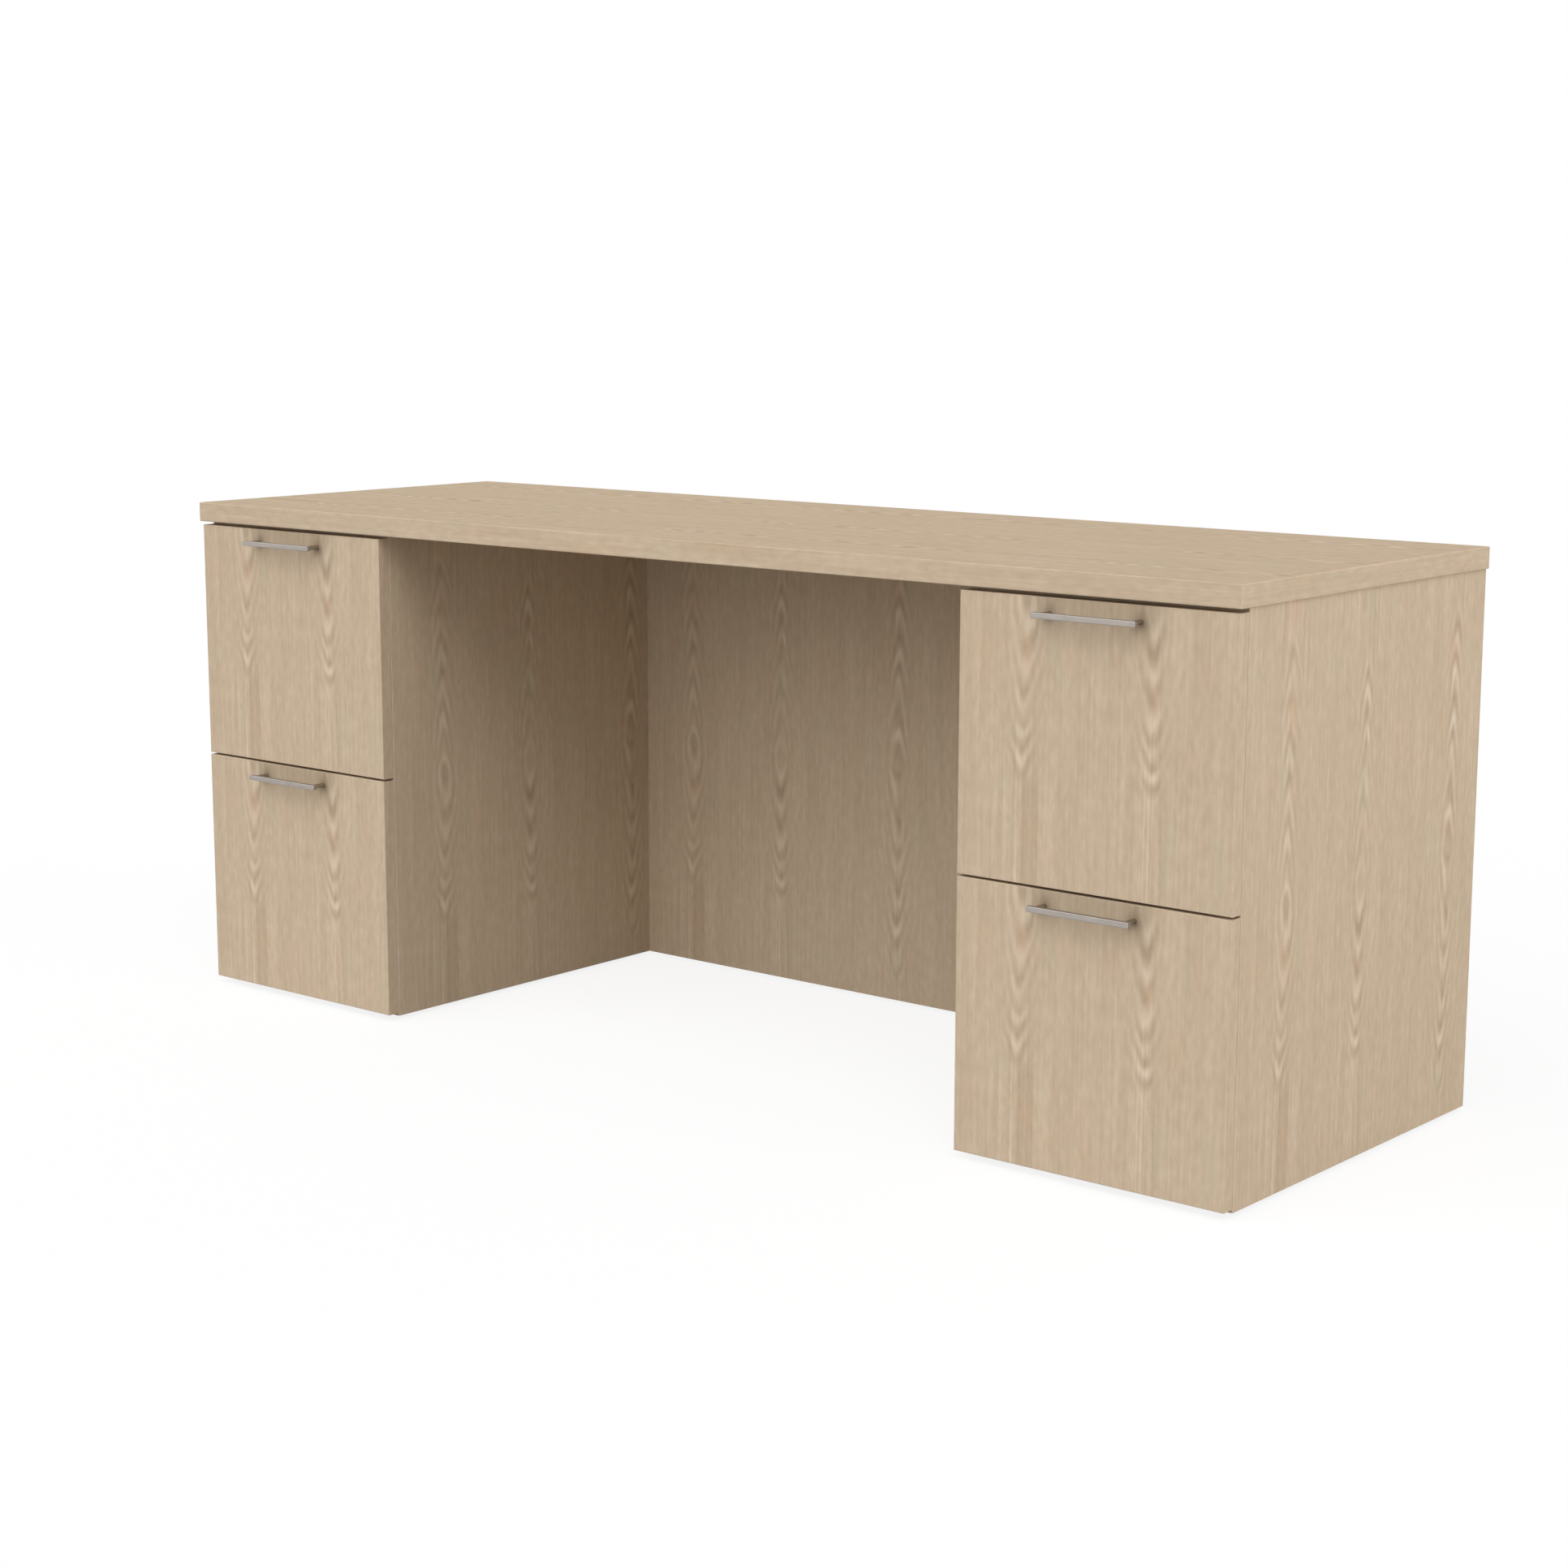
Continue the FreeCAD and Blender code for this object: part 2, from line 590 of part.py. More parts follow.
def slide_member(label, hand, opens, web, mouth, half_height, holes):
    """One rolled member of a slide, with its bends rounded inside and out and its web punched for screws."""
    body = new_body(label)
    sketch = sketch_across(body, "Y", "0")
    draw_outline(sketch, channel_outline(hand, opens, web, mouth, half_height))
    feature = pad(body, sketch, "Y", 1, SLIDE_LENGTH)
    doc.recompute()
    corners = [line.StartPoint for line in sketch.Geometry]
    outside = abs(corners[0].y)
    inside = abs(corners[len(corners) // 2].y)
    outer_radius = "slide_bend_radius + slide_sheet"
    outer = round_edges(body, feature, outer_radius, lambda edge: is_bend(edge, outside))
    round_edges(body, outer, "slide_bend_radius", lambda edge: is_bend(edge, inside))
    if holes:
        spots = [(along, "0") for along in holes]
        bore(body, "X", f"{hand} * {web}", hand * opens, spots, "slide_hole_diameter", "slide_sheet")
    return body


def ball_cage(label, hand, web, half_height):
    """One ball cage of a slide, a short thin channel that lies between two members."""
    body = new_body(label)
    sketch = sketch_across(body, "Y", "0")
    mouth = f"({SLIDE_MOUTH} - slide_sheet - {CAGE_MARGIN})"
    draw_outline(sketch, cage_outline(hand, web, mouth, half_height))
    pad(body, sketch, "Y", 1, "cage_length")
    return body


def build_slides(position, left, box_bottom):
    """A left and a right telescopic slide for one drawer, each of three members and two ball cages."""
    members = {
        "slide_case_members": (1, "0", SLIDE_MOUTH, CASE_HALF, CASE_HOLES),
        "slide_middle_members": (1, MIDDLE_WEB, SLIDE_MOUTH, MIDDLE_HALF, ()),
        "slide_drawer_members": (-1, "slide_space", DRAWER_MOUTH, DRAWER_HALF, DRAWER_HOLES),
    }
    cages = {
        "outer_ball_cages": (
            f"(slide_sheet + {CAGE_MARGIN})",
            f"({CASE_HALF} - slide_sheet - {CAGE_RISE})",
        ),
        "inner_ball_cages": (
            f"({MIDDLE_WEB} + slide_sheet + {CAGE_MARGIN})",
            f"({MIDDLE_HALF} - slide_sheet - {CAGE_RISE})",
        ),
    }
    sides = {
        "left": (1, f"{left} + panel_thickness"),
        "right": (-1, f"{left} + pedestal_width - panel_thickness"),
    }
    centre = f"{box_bottom} + slide_rise"
    for name, section in members.items():
        pair = []
        for side, (hand, gable) in sides.items():
            member = slide_member(f"{position}_{side}_{name}", hand, *section)
            place(member, gable, SLIDE_FRONT, centre)
            pair.append(member)
        group(f"{position}_{name}", pair)
    for name, (web, half_height) in cages.items():
        pair = []
        for side, (hand, gable) in sides.items():
            cage = ball_cage(f"{position}_{side}_{name}", hand, web, half_height)
            place(cage, gable, f"{SLIDE_FRONT} + ({SLIDE_LENGTH} - cage_length) / 2", centre)
            pair.append(cage)
        group(f"{position}_{name}", pair)


def build_front(position, left, front_bottom):
    """A drawer front with eased edges round its face."""
    body = board(f"{position}_drawer_front", FRONT_WIDTH, "front_thickness", FRONT_HEIGHT)
    round_edges(body, body.Tip, "panel_edge_radius", lambda edge: on_plane(edge, "y", 0))
    place(body, f"{left} + front_reveal", FRONT_FACE, front_bottom)
    single(body)


def build_pull(position, left, front_bottom):
    """A slim bar on two round posts, centred across the front near its top edge."""
    body = new_body(f"{position}_pull")
    bar_back = "(pull_bar_depth - pull_projection)"
    half_height = "(pull_bar_height / 2)"
    section = sketch_across(body, "X", "-pull_length / 2")
    draw_outline(section, rectangle("-pull_projection", bar_back, f"-{half_height}", half_height))
    bar = pad(body, section, "X", 1, "pull_length")
    round_edges(body, bar, "pull_edge_radius", lambda edge: True)
    posts = sketch_across(body, "Y", "0")
    spots = [(f"{side} * (pull_length / 2 - pull_post_inset)", "0") for side in (-1, 1)]
    draw_circles(posts, spots, "pull_post_diameter")
    pad(body, posts, "Y", -1, "pull_projection - pull_bar_depth / 2")
    place(body, f"{left} + pedestal_width / 2", FRONT_FACE, f"{front_bottom} + {FRONT_HEIGHT} - pull_drop")
    single(body)


def build_box(position, left, box_bottom):
    """A drawer box: sides rabbeted for the ends, and a bottom held in grooves all round."""
    box_left = f"({left} + panel_thickness + slide_space)"
    groove_top = "groove_rise + box_bottom_thickness"
    sides = []
    for side, inward in (("left", 1), ("right", -1)):
        body = board(f"{position}_box_{side}_side", "box_board", BOX_DEPTH, BOX_HEIGHT)
        inner_face = "box_board" if inward > 0 else "0"
        rabbets = [
            rectangle("0", "box_board", "0", BOX_HEIGHT),
            rectangle(f"{BOX_DEPTH} - box_board", BOX_DEPTH, "0", BOX_HEIGHT),
        ]
        cut_rectangles(body, "X", inner_face, -inward, rabbets, "rabbet_depth")
        groove = rectangle("0", BOX_DEPTH, "groove_rise", groove_top)
        cut_rectangles(body, "X", inner_face, -inward, [groove], "groove_depth")
        x = box_left if inward > 0 else f"{box_left} + {BOX_WIDTH} - box_board"
        place(body, x, FRONT_BACK, box_bottom)
        sides.append(body)
    group(f"{position}_box_sides", sides)

    end_width = f"({BOX_WIDTH} - 2 * (box_board - rabbet_depth))"
    box_back = f"({FRONT_BACK} + {BOX_DEPTH} - box_board)"
    ends = []
    for end, inward, y in (("front", 1, FRONT_BACK), ("back", -1, box_back)):
        body = board(f"{position}_box_{end}", end_width, "box_board", BOX_HEIGHT)
        inner_face = "box_board" if inward > 0 else "0"
        groove = rectangle("0", end_width, "groove_rise", groove_top)
        cut_rectangles(body, "Y", inner_face, -inward, [groove], "groove_depth")
        place(body, f"{box_left} + box_board - rabbet_depth", y, box_bottom)
        ends.append(body)
    group(f"{position}_box_ends", ends)

    margin = "(box_board - groove_depth)"
    bottom_width = f"{BOX_WIDTH} - 2 * {margin}"
    bottom_depth = f"{BOX_DEPTH} - 2 * {margin}"
    bottom = board(f"{position}_box_bottom", bottom_width, bottom_depth, "box_bottom_thickness")
    place(bottom, f"{box_left} + {margin}", f"{FRONT_BACK} + {margin}", f"{box_bottom} + groove_rise")
    single(bottom)


def build_file_rails(position, left, box_bottom):
    """Rails clipped over the box sides, with an upright lip for hanging files."""
    outer, board_face, inner = "-file_rail_wall", "box_board", "(box_board + file_rail_wall)"
    section = [
        (outer, "-file_rail_leg"),
        ("0", "-file_rail_leg"),
        ("0", "0"),
        (board_face, "0"),
        (board_face, "-file_rail_leg"),
        (inner, "-file_rail_leg"),
        (inner, "file_rail_lip"),
        (board_face, "file_rail_lip"),
        (board_face, "file_rail_wall"),
        (outer, "file_rail_wall"),
    ]
    end_margin = "(box_board + file_rail_end_gap)"
    box_left = f"({left} + panel_thickness + slide_space)"
    rails = []
    for side, hand, x in (("left", 1, box_left), ("right", -1, f"{box_left} + {BOX_WIDTH}")):
        body = new_body(f"{position}_{side}_file_rail")
        sketch = sketch_across(body, "Y", "0")
        draw_outline(sketch, [(f"{hand} * {across}", up) for across, up in section])
        pad(body, sketch, "Y", 1, f"{BOX_DEPTH} - 2 * {end_margin}")
        place(body, x, f"{FRONT_BACK} + {end_margin}", f"{box_bottom} + {BOX_HEIGHT}")
        rails.append(body)
    group(f"{position}_file_rails", rails)


def build_drawer(position, left, front_bottom):
    """One drawer with its slides."""
    box_bottom = f"({front_bottom} + {BOX_RISE})"
    build_front(position, left, front_bottom)
    build_pull(position, left, front_bottom)
    build_box(position, left, box_bottom)
    build_file_rails(position, left, box_bottom)
    build_slides(position, left, box_bottom)


def check_document():
    """Stops if any object failed, any cut missed its body, or any node has no sound shape."""
    doc.recompute()
    for piece in doc.Objects:
        if {"Invalid", "Error"} & set(piece.State):
            raise RuntimeError(f"{piece.Label} failed: {piece.State}")
        if piece.TypeId == "PartDesign::Pocket":
            removed = piece.BaseFeature.Shape.Volume - piece.Shape.Volume
            if removed <= TOLERANCE:
                raise RuntimeError(f"{piece.Label} cuts nothing")
    for node in nodes:
        if node.Shape.isNull() or not node.Shape.isValid():
            raise RuntimeError(f"{node.Label} has no sound shape")


build_worktop()
for pedestal, pedestal_left in PEDESTALS.items():
    build_pedestal(pedestal, pedestal_left)
build_knee_panel()
build_glides()
build_dowels()
build_cams()
build_worktop_screws()
for pedestal, pedestal_left in PEDESTALS.items():
    for level, lower_edge in LEVELS.items():
        build_drawer(f"{pedestal}_{level}", pedestal_left, lower_edge)
check_document()

os.makedirs("parts", exist_ok=True)
for node in nodes:
    node.Shape.exportStep(f"parts/{node.Label}.step")
    print(node.Label, len(node.Shape.Solids), "solids")
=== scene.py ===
"""Looks of a kneespace credenza: oak-grain laminate, satin bar pulls and steel drawer slides.

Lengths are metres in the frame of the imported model: +X along the worktop, +Y to the back, +Z up.
"""
import logging
import math
from dataclasses import dataclass, field
from enum import Enum
from functools import cache
from typing import Optional, Union

import bmesh
import bpy
from mathutils import Matrix, Vector


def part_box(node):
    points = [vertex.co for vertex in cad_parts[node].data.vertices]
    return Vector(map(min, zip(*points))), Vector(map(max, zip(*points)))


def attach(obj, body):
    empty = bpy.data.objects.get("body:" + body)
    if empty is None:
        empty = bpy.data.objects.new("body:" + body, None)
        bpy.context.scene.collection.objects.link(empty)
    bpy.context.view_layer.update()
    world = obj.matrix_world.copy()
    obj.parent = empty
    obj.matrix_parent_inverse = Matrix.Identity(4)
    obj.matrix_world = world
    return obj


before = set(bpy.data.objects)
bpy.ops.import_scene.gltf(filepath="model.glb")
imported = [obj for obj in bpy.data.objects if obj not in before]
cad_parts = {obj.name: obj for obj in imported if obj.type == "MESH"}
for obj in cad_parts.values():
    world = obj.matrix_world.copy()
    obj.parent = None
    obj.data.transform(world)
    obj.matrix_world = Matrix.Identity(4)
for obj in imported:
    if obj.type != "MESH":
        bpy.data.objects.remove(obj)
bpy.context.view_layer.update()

log = logging.getLogger("credenza")

Socket = bpy.types.NodeSocket
Value = Union[Socket, float, int, str, tuple]
Feeds = dict[Union[int, str], Value]
Colour = tuple[float, float, float, float]
Pair = tuple[float, float]
Corners = list[bmesh.types.BMVert]

POSITIONS = ("left_upper", "left_lower", "right_upper", "right_lower")
BACKWARDS = Vector((0.0, 1.0, 0.0))

# The curve of a screen's colours: a straight foot, then a power
FULL_LEVEL = 255
FOOT_END = 0.04045
FOOT_SLOPE = 12.92
CURVE_OFFSET = 0.055
CURVE_POWER = 2.4

# The middle of a noise node's values and of a colour ramp
MIDDLE = 0.5

# Sockets of a Mix node for the share and the two values, and the result of mixed colours
MIX_NUMBERS = (0, 2, 3)
MIX_COLOURS = (0, 6, 7)
MIX_COLOUR_RESULT = 2

# Inputs of the oak print: places from a board's first corner, and the board's length along the grain
BOARD_INPUTS = ("Across", "Along", "Through", "Length")

# Faces of a slide's ball, round it and from pole to pole
BALL_SEGMENTS = 10
BALL_RINGS = 6


class Axis(Enum):
    """The axes of the frame, in the order of a point's coordinates."""

    X = 0
    Y = 1
    Z = 2


class BoardLay(Enum):
    """The axes that run across a board's grain, along it and through the board."""

    FACING_FRONT = (Axis.X, Axis.Z, Axis.Y)
    FACING_SIDE = (Axis.Y, Axis.Z, Axis.X)
    FLAT_ALONG_WIDTH = (Axis.Y, Axis.X, Axis.Z)
    FLAT_ALONG_DEPTH = (Axis.X, Axis.Y, Axis.Z)


def screen_colour(red: int, green: int, blue: int) -> Colour:
    """Turns a colour as a screen shows it into a linear one.

    Args:
        red: Red, from 0 to 255.
        green: Green, from 0 to 255.
        blue: Blue, from 0 to 255.

    Returns:
        The linear colour with full opacity.
    """
    linear = []
    for level in (red, green, blue):
        share = level / FULL_LEVEL
        curve = ((share + CURVE_OFFSET) / (1.0 + CURVE_OFFSET)) ** CURVE_POWER
        linear.append(share / FOOT_SLOPE if share <= FOOT_END else curve)
    return (linear[0], linear[1], linear[2], 1.0)


@dataclass
class NodeSheet:
    """A node tree with short calls that add nodes and link them."""

    tree: bpy.types.NodeTree

    def add(self, kind: str, fed: Optional[Feeds] = None, **settings: object) -> bpy.types.Node:
        """Adds a node and feeds its inputs.

        Args:
            kind: The type name of the node.
            fed: What its inputs take, by their labels or places.
            settings: Properties of the node and their values.

        Returns:
            The new node.
        """
        node = self.tree.nodes.new(kind)
        for name, value in settings.items():
            setattr(node, name, value)
        for key, value in (fed or {}).items():
            self.feed(node.inputs[key], value)
        return node

    def feed(self, target: Socket, value: Value) -> None:
        """Links an output to an input, or writes a plain value there.

        Args:
            target: The input.
            value: An output of another node, or the plain value.
        """
        if isinstance(value, Socket):
            self.tree.links.new(value, target)
        else:
            target.default_value = value

    def math(self, operation: str, *values: Value) -> Socket:
        """Adds an operation on numbers, which takes them in order."""
        return self.add("ShaderNodeMath", dict(enumerate(values)), operation=operation).outputs[0]

    def blend(self, share: Value, first: Value, second: Value) -> Socket:
        """Adds a mix of two numbers, by the share of the second."""
        fed = dict(zip(MIX_NUMBERS, (share, first, second)))
        return self.add("ShaderNodeMix", fed, data_type="FLOAT").outputs[0]

    def tint(self, share: Value, first: Value, second: Value) -> Socket:
        """Adds a mix of two colours, by the share of the second."""
        fed = dict(zip(MIX_COLOURS, (share, first, second)))
        return self.add("ShaderNodeMix", fed, data_type="RGBA").outputs[MIX_COLOUR_RESULT]

    def rise(self, value: Value, low: float, high: float) -> Socket:
        """Adds a soft step from 0 at the low value to 1 at the high one."""
        fed = {"Value": value, "From Min": low, "From Max": high}
        return self.add("ShaderNodeMapRange", fed, interpolation_type="SMOOTHSTEP").outputs[0]

    def wrapped(self, value: Value, repeat: float) -> Socket:
        """Adds the distance to the nearest of marks that stand one repeat apart."""
        return self.math("WRAP", value, repeat / 2, -repeat / 2)

    def bell(self, distance: Value, half_width: float) -> Socket:
        """Adds a bell-shaped fade from 1 in the middle, with about two thirds lost at the half width."""
        share = self.math("DIVIDE", distance, half_width)
        return self.math("EXPONENT", self.math("MULTIPLY", self.math("MULTIPLY", share, share), -1.0))

    def parts(self, point: Socket) -> bpy.types.NodeOutputs:
        """Splits a point into its three numbers."""
        return self.add("ShaderNodeSeparateXYZ", {0: point}).outputs

    def noise(self, place: Socket, scale: float, detail: float = 2.0) -> Socket:
        """Adds cloudy noise, about one half on average, with finer layers by its detail."""
        fed = {"Vector": place, "Scale": scale, "Detail": detail}
        return self.add("ShaderNodeTexNoise", fed).outputs[0]

    def length(self, first: Value, second: Value) -> Socket:
        """Adds the length of a step of two numbers at right angles.

        Args:
            first: The first number.
            second: The second number.

        Returns:
            The length.
        """
        square = self.math("MULTIPLY", first, first)
        other = second ** 2 if isinstance(second, float) else self.math("MULTIPLY", second, second)
        return self.math("SQRT", self.math("ADD", square, other))

    def ramp(self, value: Socket, stops: dict[float, Colour]) -> Socket:
        """Adds a colour ramp.

        Args:
            value: The number that picks the colour.
            stops: The colours by their places from 0 to 1.

        Returns:
            The colour.
        """
        node = self.add("ShaderNodeValToRGB", {0: value})
        elements = node.color_ramp.elements
        while len(elements) < len(stops):
            elements.new(MIDDLE)
        for element, (place, colour) in zip(elements, sorted(stops.items())):
            element.position = place
            element.color = colour
        return node.outputs[0]


@dataclass
class PrintSheet(NodeSheet):
    """The node sheet of the oak print, with the places along the grain and across it."""

    run: Socket = field(init=False)
    side: Socket = field(init=False)

    def lay_out(self, end_band: float) -> None:
        """Turns a board's coordinates into places on the print, also on the bands of the board's ends.

        Args:
            end_band: The thickness of those bands.
        """
        inputs = self.add("NodeGroupInput").outputs
        across, along, through, length = (inputs[label] for label in BOARD_INPUTS)
        low_end = self.math("LESS_THAN", along, end_band)
        high_end = self.math("GREATER_THAN", along, self.math("SUBTRACT", length, end_band))
        on_end = self.math("MAXIMUM", low_end, high_end)
        self.run = self.blend(on_end, along, across)
        self.side = self.blend(on_end, self.math("ADD", across, through), through)

    def streaks(self, counts: Pair, layer: float) -> Socket:
        """Adds noise drawn out along the grain.

        Args:
            counts: Streaks to the metre across the grain and along it.
            layer: A number that sets one pattern apart from another.

        Returns:
            The noise, about 0 on average.
        """
        across = self.math("MULTIPLY", self.side, counts[0])
        along = self.math("MULTIPLY", self.run, counts[1])
        spot = self.add("ShaderNodeCombineXYZ", {"X": across, "Y": along, "Z": layer})
        return self.math("SUBTRACT", self.noise(spot.outputs[0], 1.0, 1.0), MIDDLE)


@dataclass
class SurfaceSheet(NodeSheet):
    """The node sheet of a material, with its shader and its Object coordinates."""

    material: bpy.types.Material
    shader: bpy.types.Node = field(init=False)
    place: Socket = field(init=False)

    @classmethod
    def named(cls, name: str) -> "SurfaceSheet":
        """Starts a new material.

        Args:
            name: The material's name.

        Returns:
            The sheet of the new material.
        """
        material = bpy.data.materials.new(name)
        material.use_nodes = True
        return cls(material.node_tree, material)

    def __post_init__(self) -> None:
        """Finds the material's shader and adds its coordinates."""
        self.shader = self.tree.nodes["Principled BSDF"]
        self.place = self.add("ShaderNodeTexCoord").outputs["Object"]

    def stretched(self, counts: tuple[float, float, float], detail: float) -> Socket:
        """Adds noise with that many clouds to the metre along each axis."""
        stretch = self.add("ShaderNodeMapping", {"Vector": self.place, "Scale": counts})
        return self.noise(stretch.outputs[0], 1.0, detail)

    def finish(self, colour: Value, roughness: Value, height: Socket, relief: float) -> bpy.types.Material:
        """Links the colour, roughness and relief to the shader.

        Args:
            colour: The surface's colour.
            roughness: Its roughness.
            height: The pattern of its relief.
            relief: The height of that relief.

        Returns:
            The finished material.
        """
        bump = self.add("ShaderNodeBump", {"Height": height, "Distance": relief})
        fed = {"Base Color": colour, "Roughness": roughness, "Normal": bump.outputs[0]}
        for label, value in fed.items():
            self.feed(self.shader.inputs[label], value)
        return self.material


@dataclass(frozen=True)
class FlameRow:
    """One row of nested arches in the oak print, with an eye where the arches turn round.

    Pairs of numbers are for the arches above the eye and below it.
    """

    place: float
    first_tips: Pair
    quickening: Pair
    reach: Pair
    seed: float
    strength: float
    line_strength: float


@dataclass(frozen=True)
class Fibre:
    """One layer of streaks in the oak print, counted to the metre."""

    across: float
    along: float
    strength: float


@dataclass(frozen=True)
class OakLaminate:
    """Matte oak-print laminate: rows of flames round eyes, with short straight fibre between the rows."""

    name: str = "oak_laminate"
    dark: Colour = screen_colour(172, 152, 128)
    middle: Colour = screen_colour(196, 176, 151)
    pale: Colour = screen_colour(218, 200, 177)
    rose: Colour = screen_colour(207, 171, 140)
    rose_layer: float = 3.0
    sage: Colour = screen_colour(184, 189, 158)
    sage_layer: float = 8.0
    # The colour of the shade painted into the print round a bar pull
    painted_shade: Colour = screen_colour(96, 80, 62)
    tint_share: float = 0.24
    tint_edges: Pair = (0.60, 0.72)
    tint_counts: Pair = (34.0, 9.0)
    tint_away: float = 0.6
    tint_half_width: float = 0.030
    rows: tuple[FlameRow, ...] = (
        FlameRow(0.097, (0.012, 0.043), (15.0, 50.0), (0.290, 0.205), 31.7, 0.28, 1.1),
        FlameRow(0.279, (0.012, 0.043), (15.0, 50.0), (0.250, 0.212), 63.4, 0.24, 0.9),
        FlameRow(0.507, (0.060, 0.048), (15.0, 20.0), (0.290, 0.300), 95.1, 0.27, 0.6),
    )
    row_repeat: float = 0.640
    eye_rise: float = 0.357
    eye_repeat: float = 0.714
    eye_round: float = 0.004
    eye_blend: float = 0.03
    ring_rate: float = 15.4
    ring_stray: float = 1.1
    stray_counts: Pair = (45.0, 13.0)
    vigour: float = 3.0
    vigour_counts: Pair = (40.0, 22.0)
    arm_slope: float = 6.0
    tip_round: float = 0.0090
    tip_half_width: float = 0.0100
    arm_half_width: float = 0.0210
    arm_share: float = 0.45
    flame_fade: float = 0.040
    line_counts: Pair = (190.0, 2.0)
    line_half_width: float = 0.034
    line_share_in_flames: float = 0.3
    fibres: tuple[Fibre, ...] = (
        Fibre(47.0, 4.5, 0.26),
        Fibre(230.0, 5.0, 0.38),
        Fibre(130.0, 48.0, 0.46),
        Fibre(520.0, 70.0, 0.11),
    )
    drift: float = 0.014
    drift_counts: Pair = (5.0, 7.0)
    roughness: Pair = (0.72, 0.62)
    gloss: float = 0.002
    end_band: float = 0.0004
    relief: float = 0.00004
    # Painted shade round a bar pull: strength and reach round each post's foot, then strength, reach and rise
    # of a band along the bar
    post_shade: float = 0.52
    post_shade_reach: float = 0.0110
    pull_shade: float = 0.30
    pull_shade_reach: float = 0.027
    pull_shade_rise: float = 0.012

    @cache
    def print_group(self) -> bpy.types.NodeTree:
        """Builds the print once, as a group that every board uses.

        Returns:
            The group, with a board's own coordinates as inputs.
        """
        tree = bpy.data.node_groups.new(self.name, "ShaderNodeTree")
        for label in BOARD_INPUTS:
            tree.interface.new_socket(label, in_out="INPUT", socket_type="NodeSocketFloat")
        for label, kind in (("Colour", "Color"), ("Roughness", "Float"), ("Height", "Float")):
            tree.interface.new_socket(label, in_out="OUTPUT", socket_type=f"NodeSocket{kind}")
        sheet = PrintSheet(tree)
        sheet.lay_out(self.end_band)
        tone = sheet.math("ADD", self.fibre(sheet), MIDDLE)
        near: Value = self.tint_away
        for row in self.rows:
            off_axis = self.off_axis(sheet, row)
            tone = sheet.math("ADD", tone, self.flames(sheet, row, off_axis))
            near = sheet.math("MAXIMUM", near, sheet.bell(off_axis, self.tint_half_width))
        colour = sheet.ramp(tone, {0.0: self.dark, MIDDLE: self.middle, 1.0: self.pale})
        results = {
            "Colour": self.tinted(sheet, colour, near),
            "Roughness": sheet.blend(tone, *self.roughness),
            "Height": tone,
        }
        sheet.add("NodeGroupOutput", results)
        return tree

    def off_axis(self, sheet: PrintSheet, row: FlameRow) -> Socket:
        """Finds the distance from the wandering middle of a row.

        Args:
            sheet: The print's node sheet.
            row: The row.

        Returns:
            The distance, below 0 on the first side.
        """
        wander = sheet.streaks(self.drift_counts, row.seed)
        middle = sheet.math("MULTIPLY_ADD", wander, self.drift, row.place)
        return sheet.wrapped(sheet.math("SUBTRACT", sheet.side, middle), self.row_repeat)

    def flames(self, sheet: PrintSheet, row: FlameRow, off_axis: Socket) -> Socket:
        """Adds one row of nested arches, with straight lines beyond their reach.

        Args:
            sheet: The print's node sheet.
            row: The row.
            off_axis: The distance from the row's middle.

        Returns:
            The tone of the row, above and below 0.
        """
        from_eye = sheet.wrapped(sheet.math("SUBTRACT", sheet.run, self.eye_rise), self.eye_repeat)
        upper = sheet.rise(from_eye, -self.eye_blend, self.eye_blend)
        reach = sheet.length(from_eye, self.eye_round)
        past_tip = sheet.math("SUBTRACT", reach, sheet.blend(upper, *reversed(row.first_tips)))
        quickening = sheet.blend(upper, *reversed(row.quickening))
        rate = sheet.math("MULTIPLY_ADD", past_tip, quickening, self.ring_rate)
        arms = sheet.math("SUBTRACT", sheet.length(off_axis, self.tip_round), self.tip_round)
        stray = sheet.math("MULTIPLY", sheet.streaks(self.stray_counts, row.seed), self.ring_stray)
        bent = sheet.math("MULTIPLY_ADD", arms, self.arm_slope * self.ring_rate, stray)
        ring = sheet.math("MULTIPLY_ADD", past_tip, rate, bent)
        wave = sheet.math("COSINE", sheet.math("MULTIPLY", ring, 2 * math.pi))
        vigour = sheet.streaks(self.vigour_counts, row.seed)
        strength = sheet.math("MULTIPLY_ADD", vigour, self.vigour * row.strength, row.strength)
        tips = sheet.bell(off_axis, self.tip_half_width)
        fade = sheet.blend(self.arm_share, tips, sheet.bell(off_axis, self.arm_half_width))
        arches = sheet.math("MULTIPLY", wave, sheet.math("MULTIPLY", strength, fade))
        line_fade = sheet.math("MULTIPLY", sheet.bell(off_axis, self.line_half_width), row.line_strength)
        lines = sheet.math("MULTIPLY", sheet.streaks(self.line_counts, row.seed), line_fade)
        overrun = sheet.math("SUBTRACT", reach, sheet.blend(upper, *reversed(row.reach)))
        beyond = sheet.rise(overrun, 0.0, self.flame_fade)
        lines = sheet.math("MULTIPLY", lines, sheet.blend(beyond, self.line_share_in_flames, 1.0))
        return sheet.math("ADD", sheet.blend(beyond, arches, 0.0), lines)

    def fibre(self, sheet: PrintSheet) -> Socket:
        """Adds the straight fibre in its layers.

        Args:
            sheet: The print's node sheet.

        Returns:
            The tone of the fibre, above and below 0.
        """
        total: Value = 0.0
        for layer in self.fibres:
            streak = sheet.streaks((layer.across, layer.along), layer.across)
            total = sheet.math("MULTIPLY_ADD", streak, layer.strength, total)
        return total

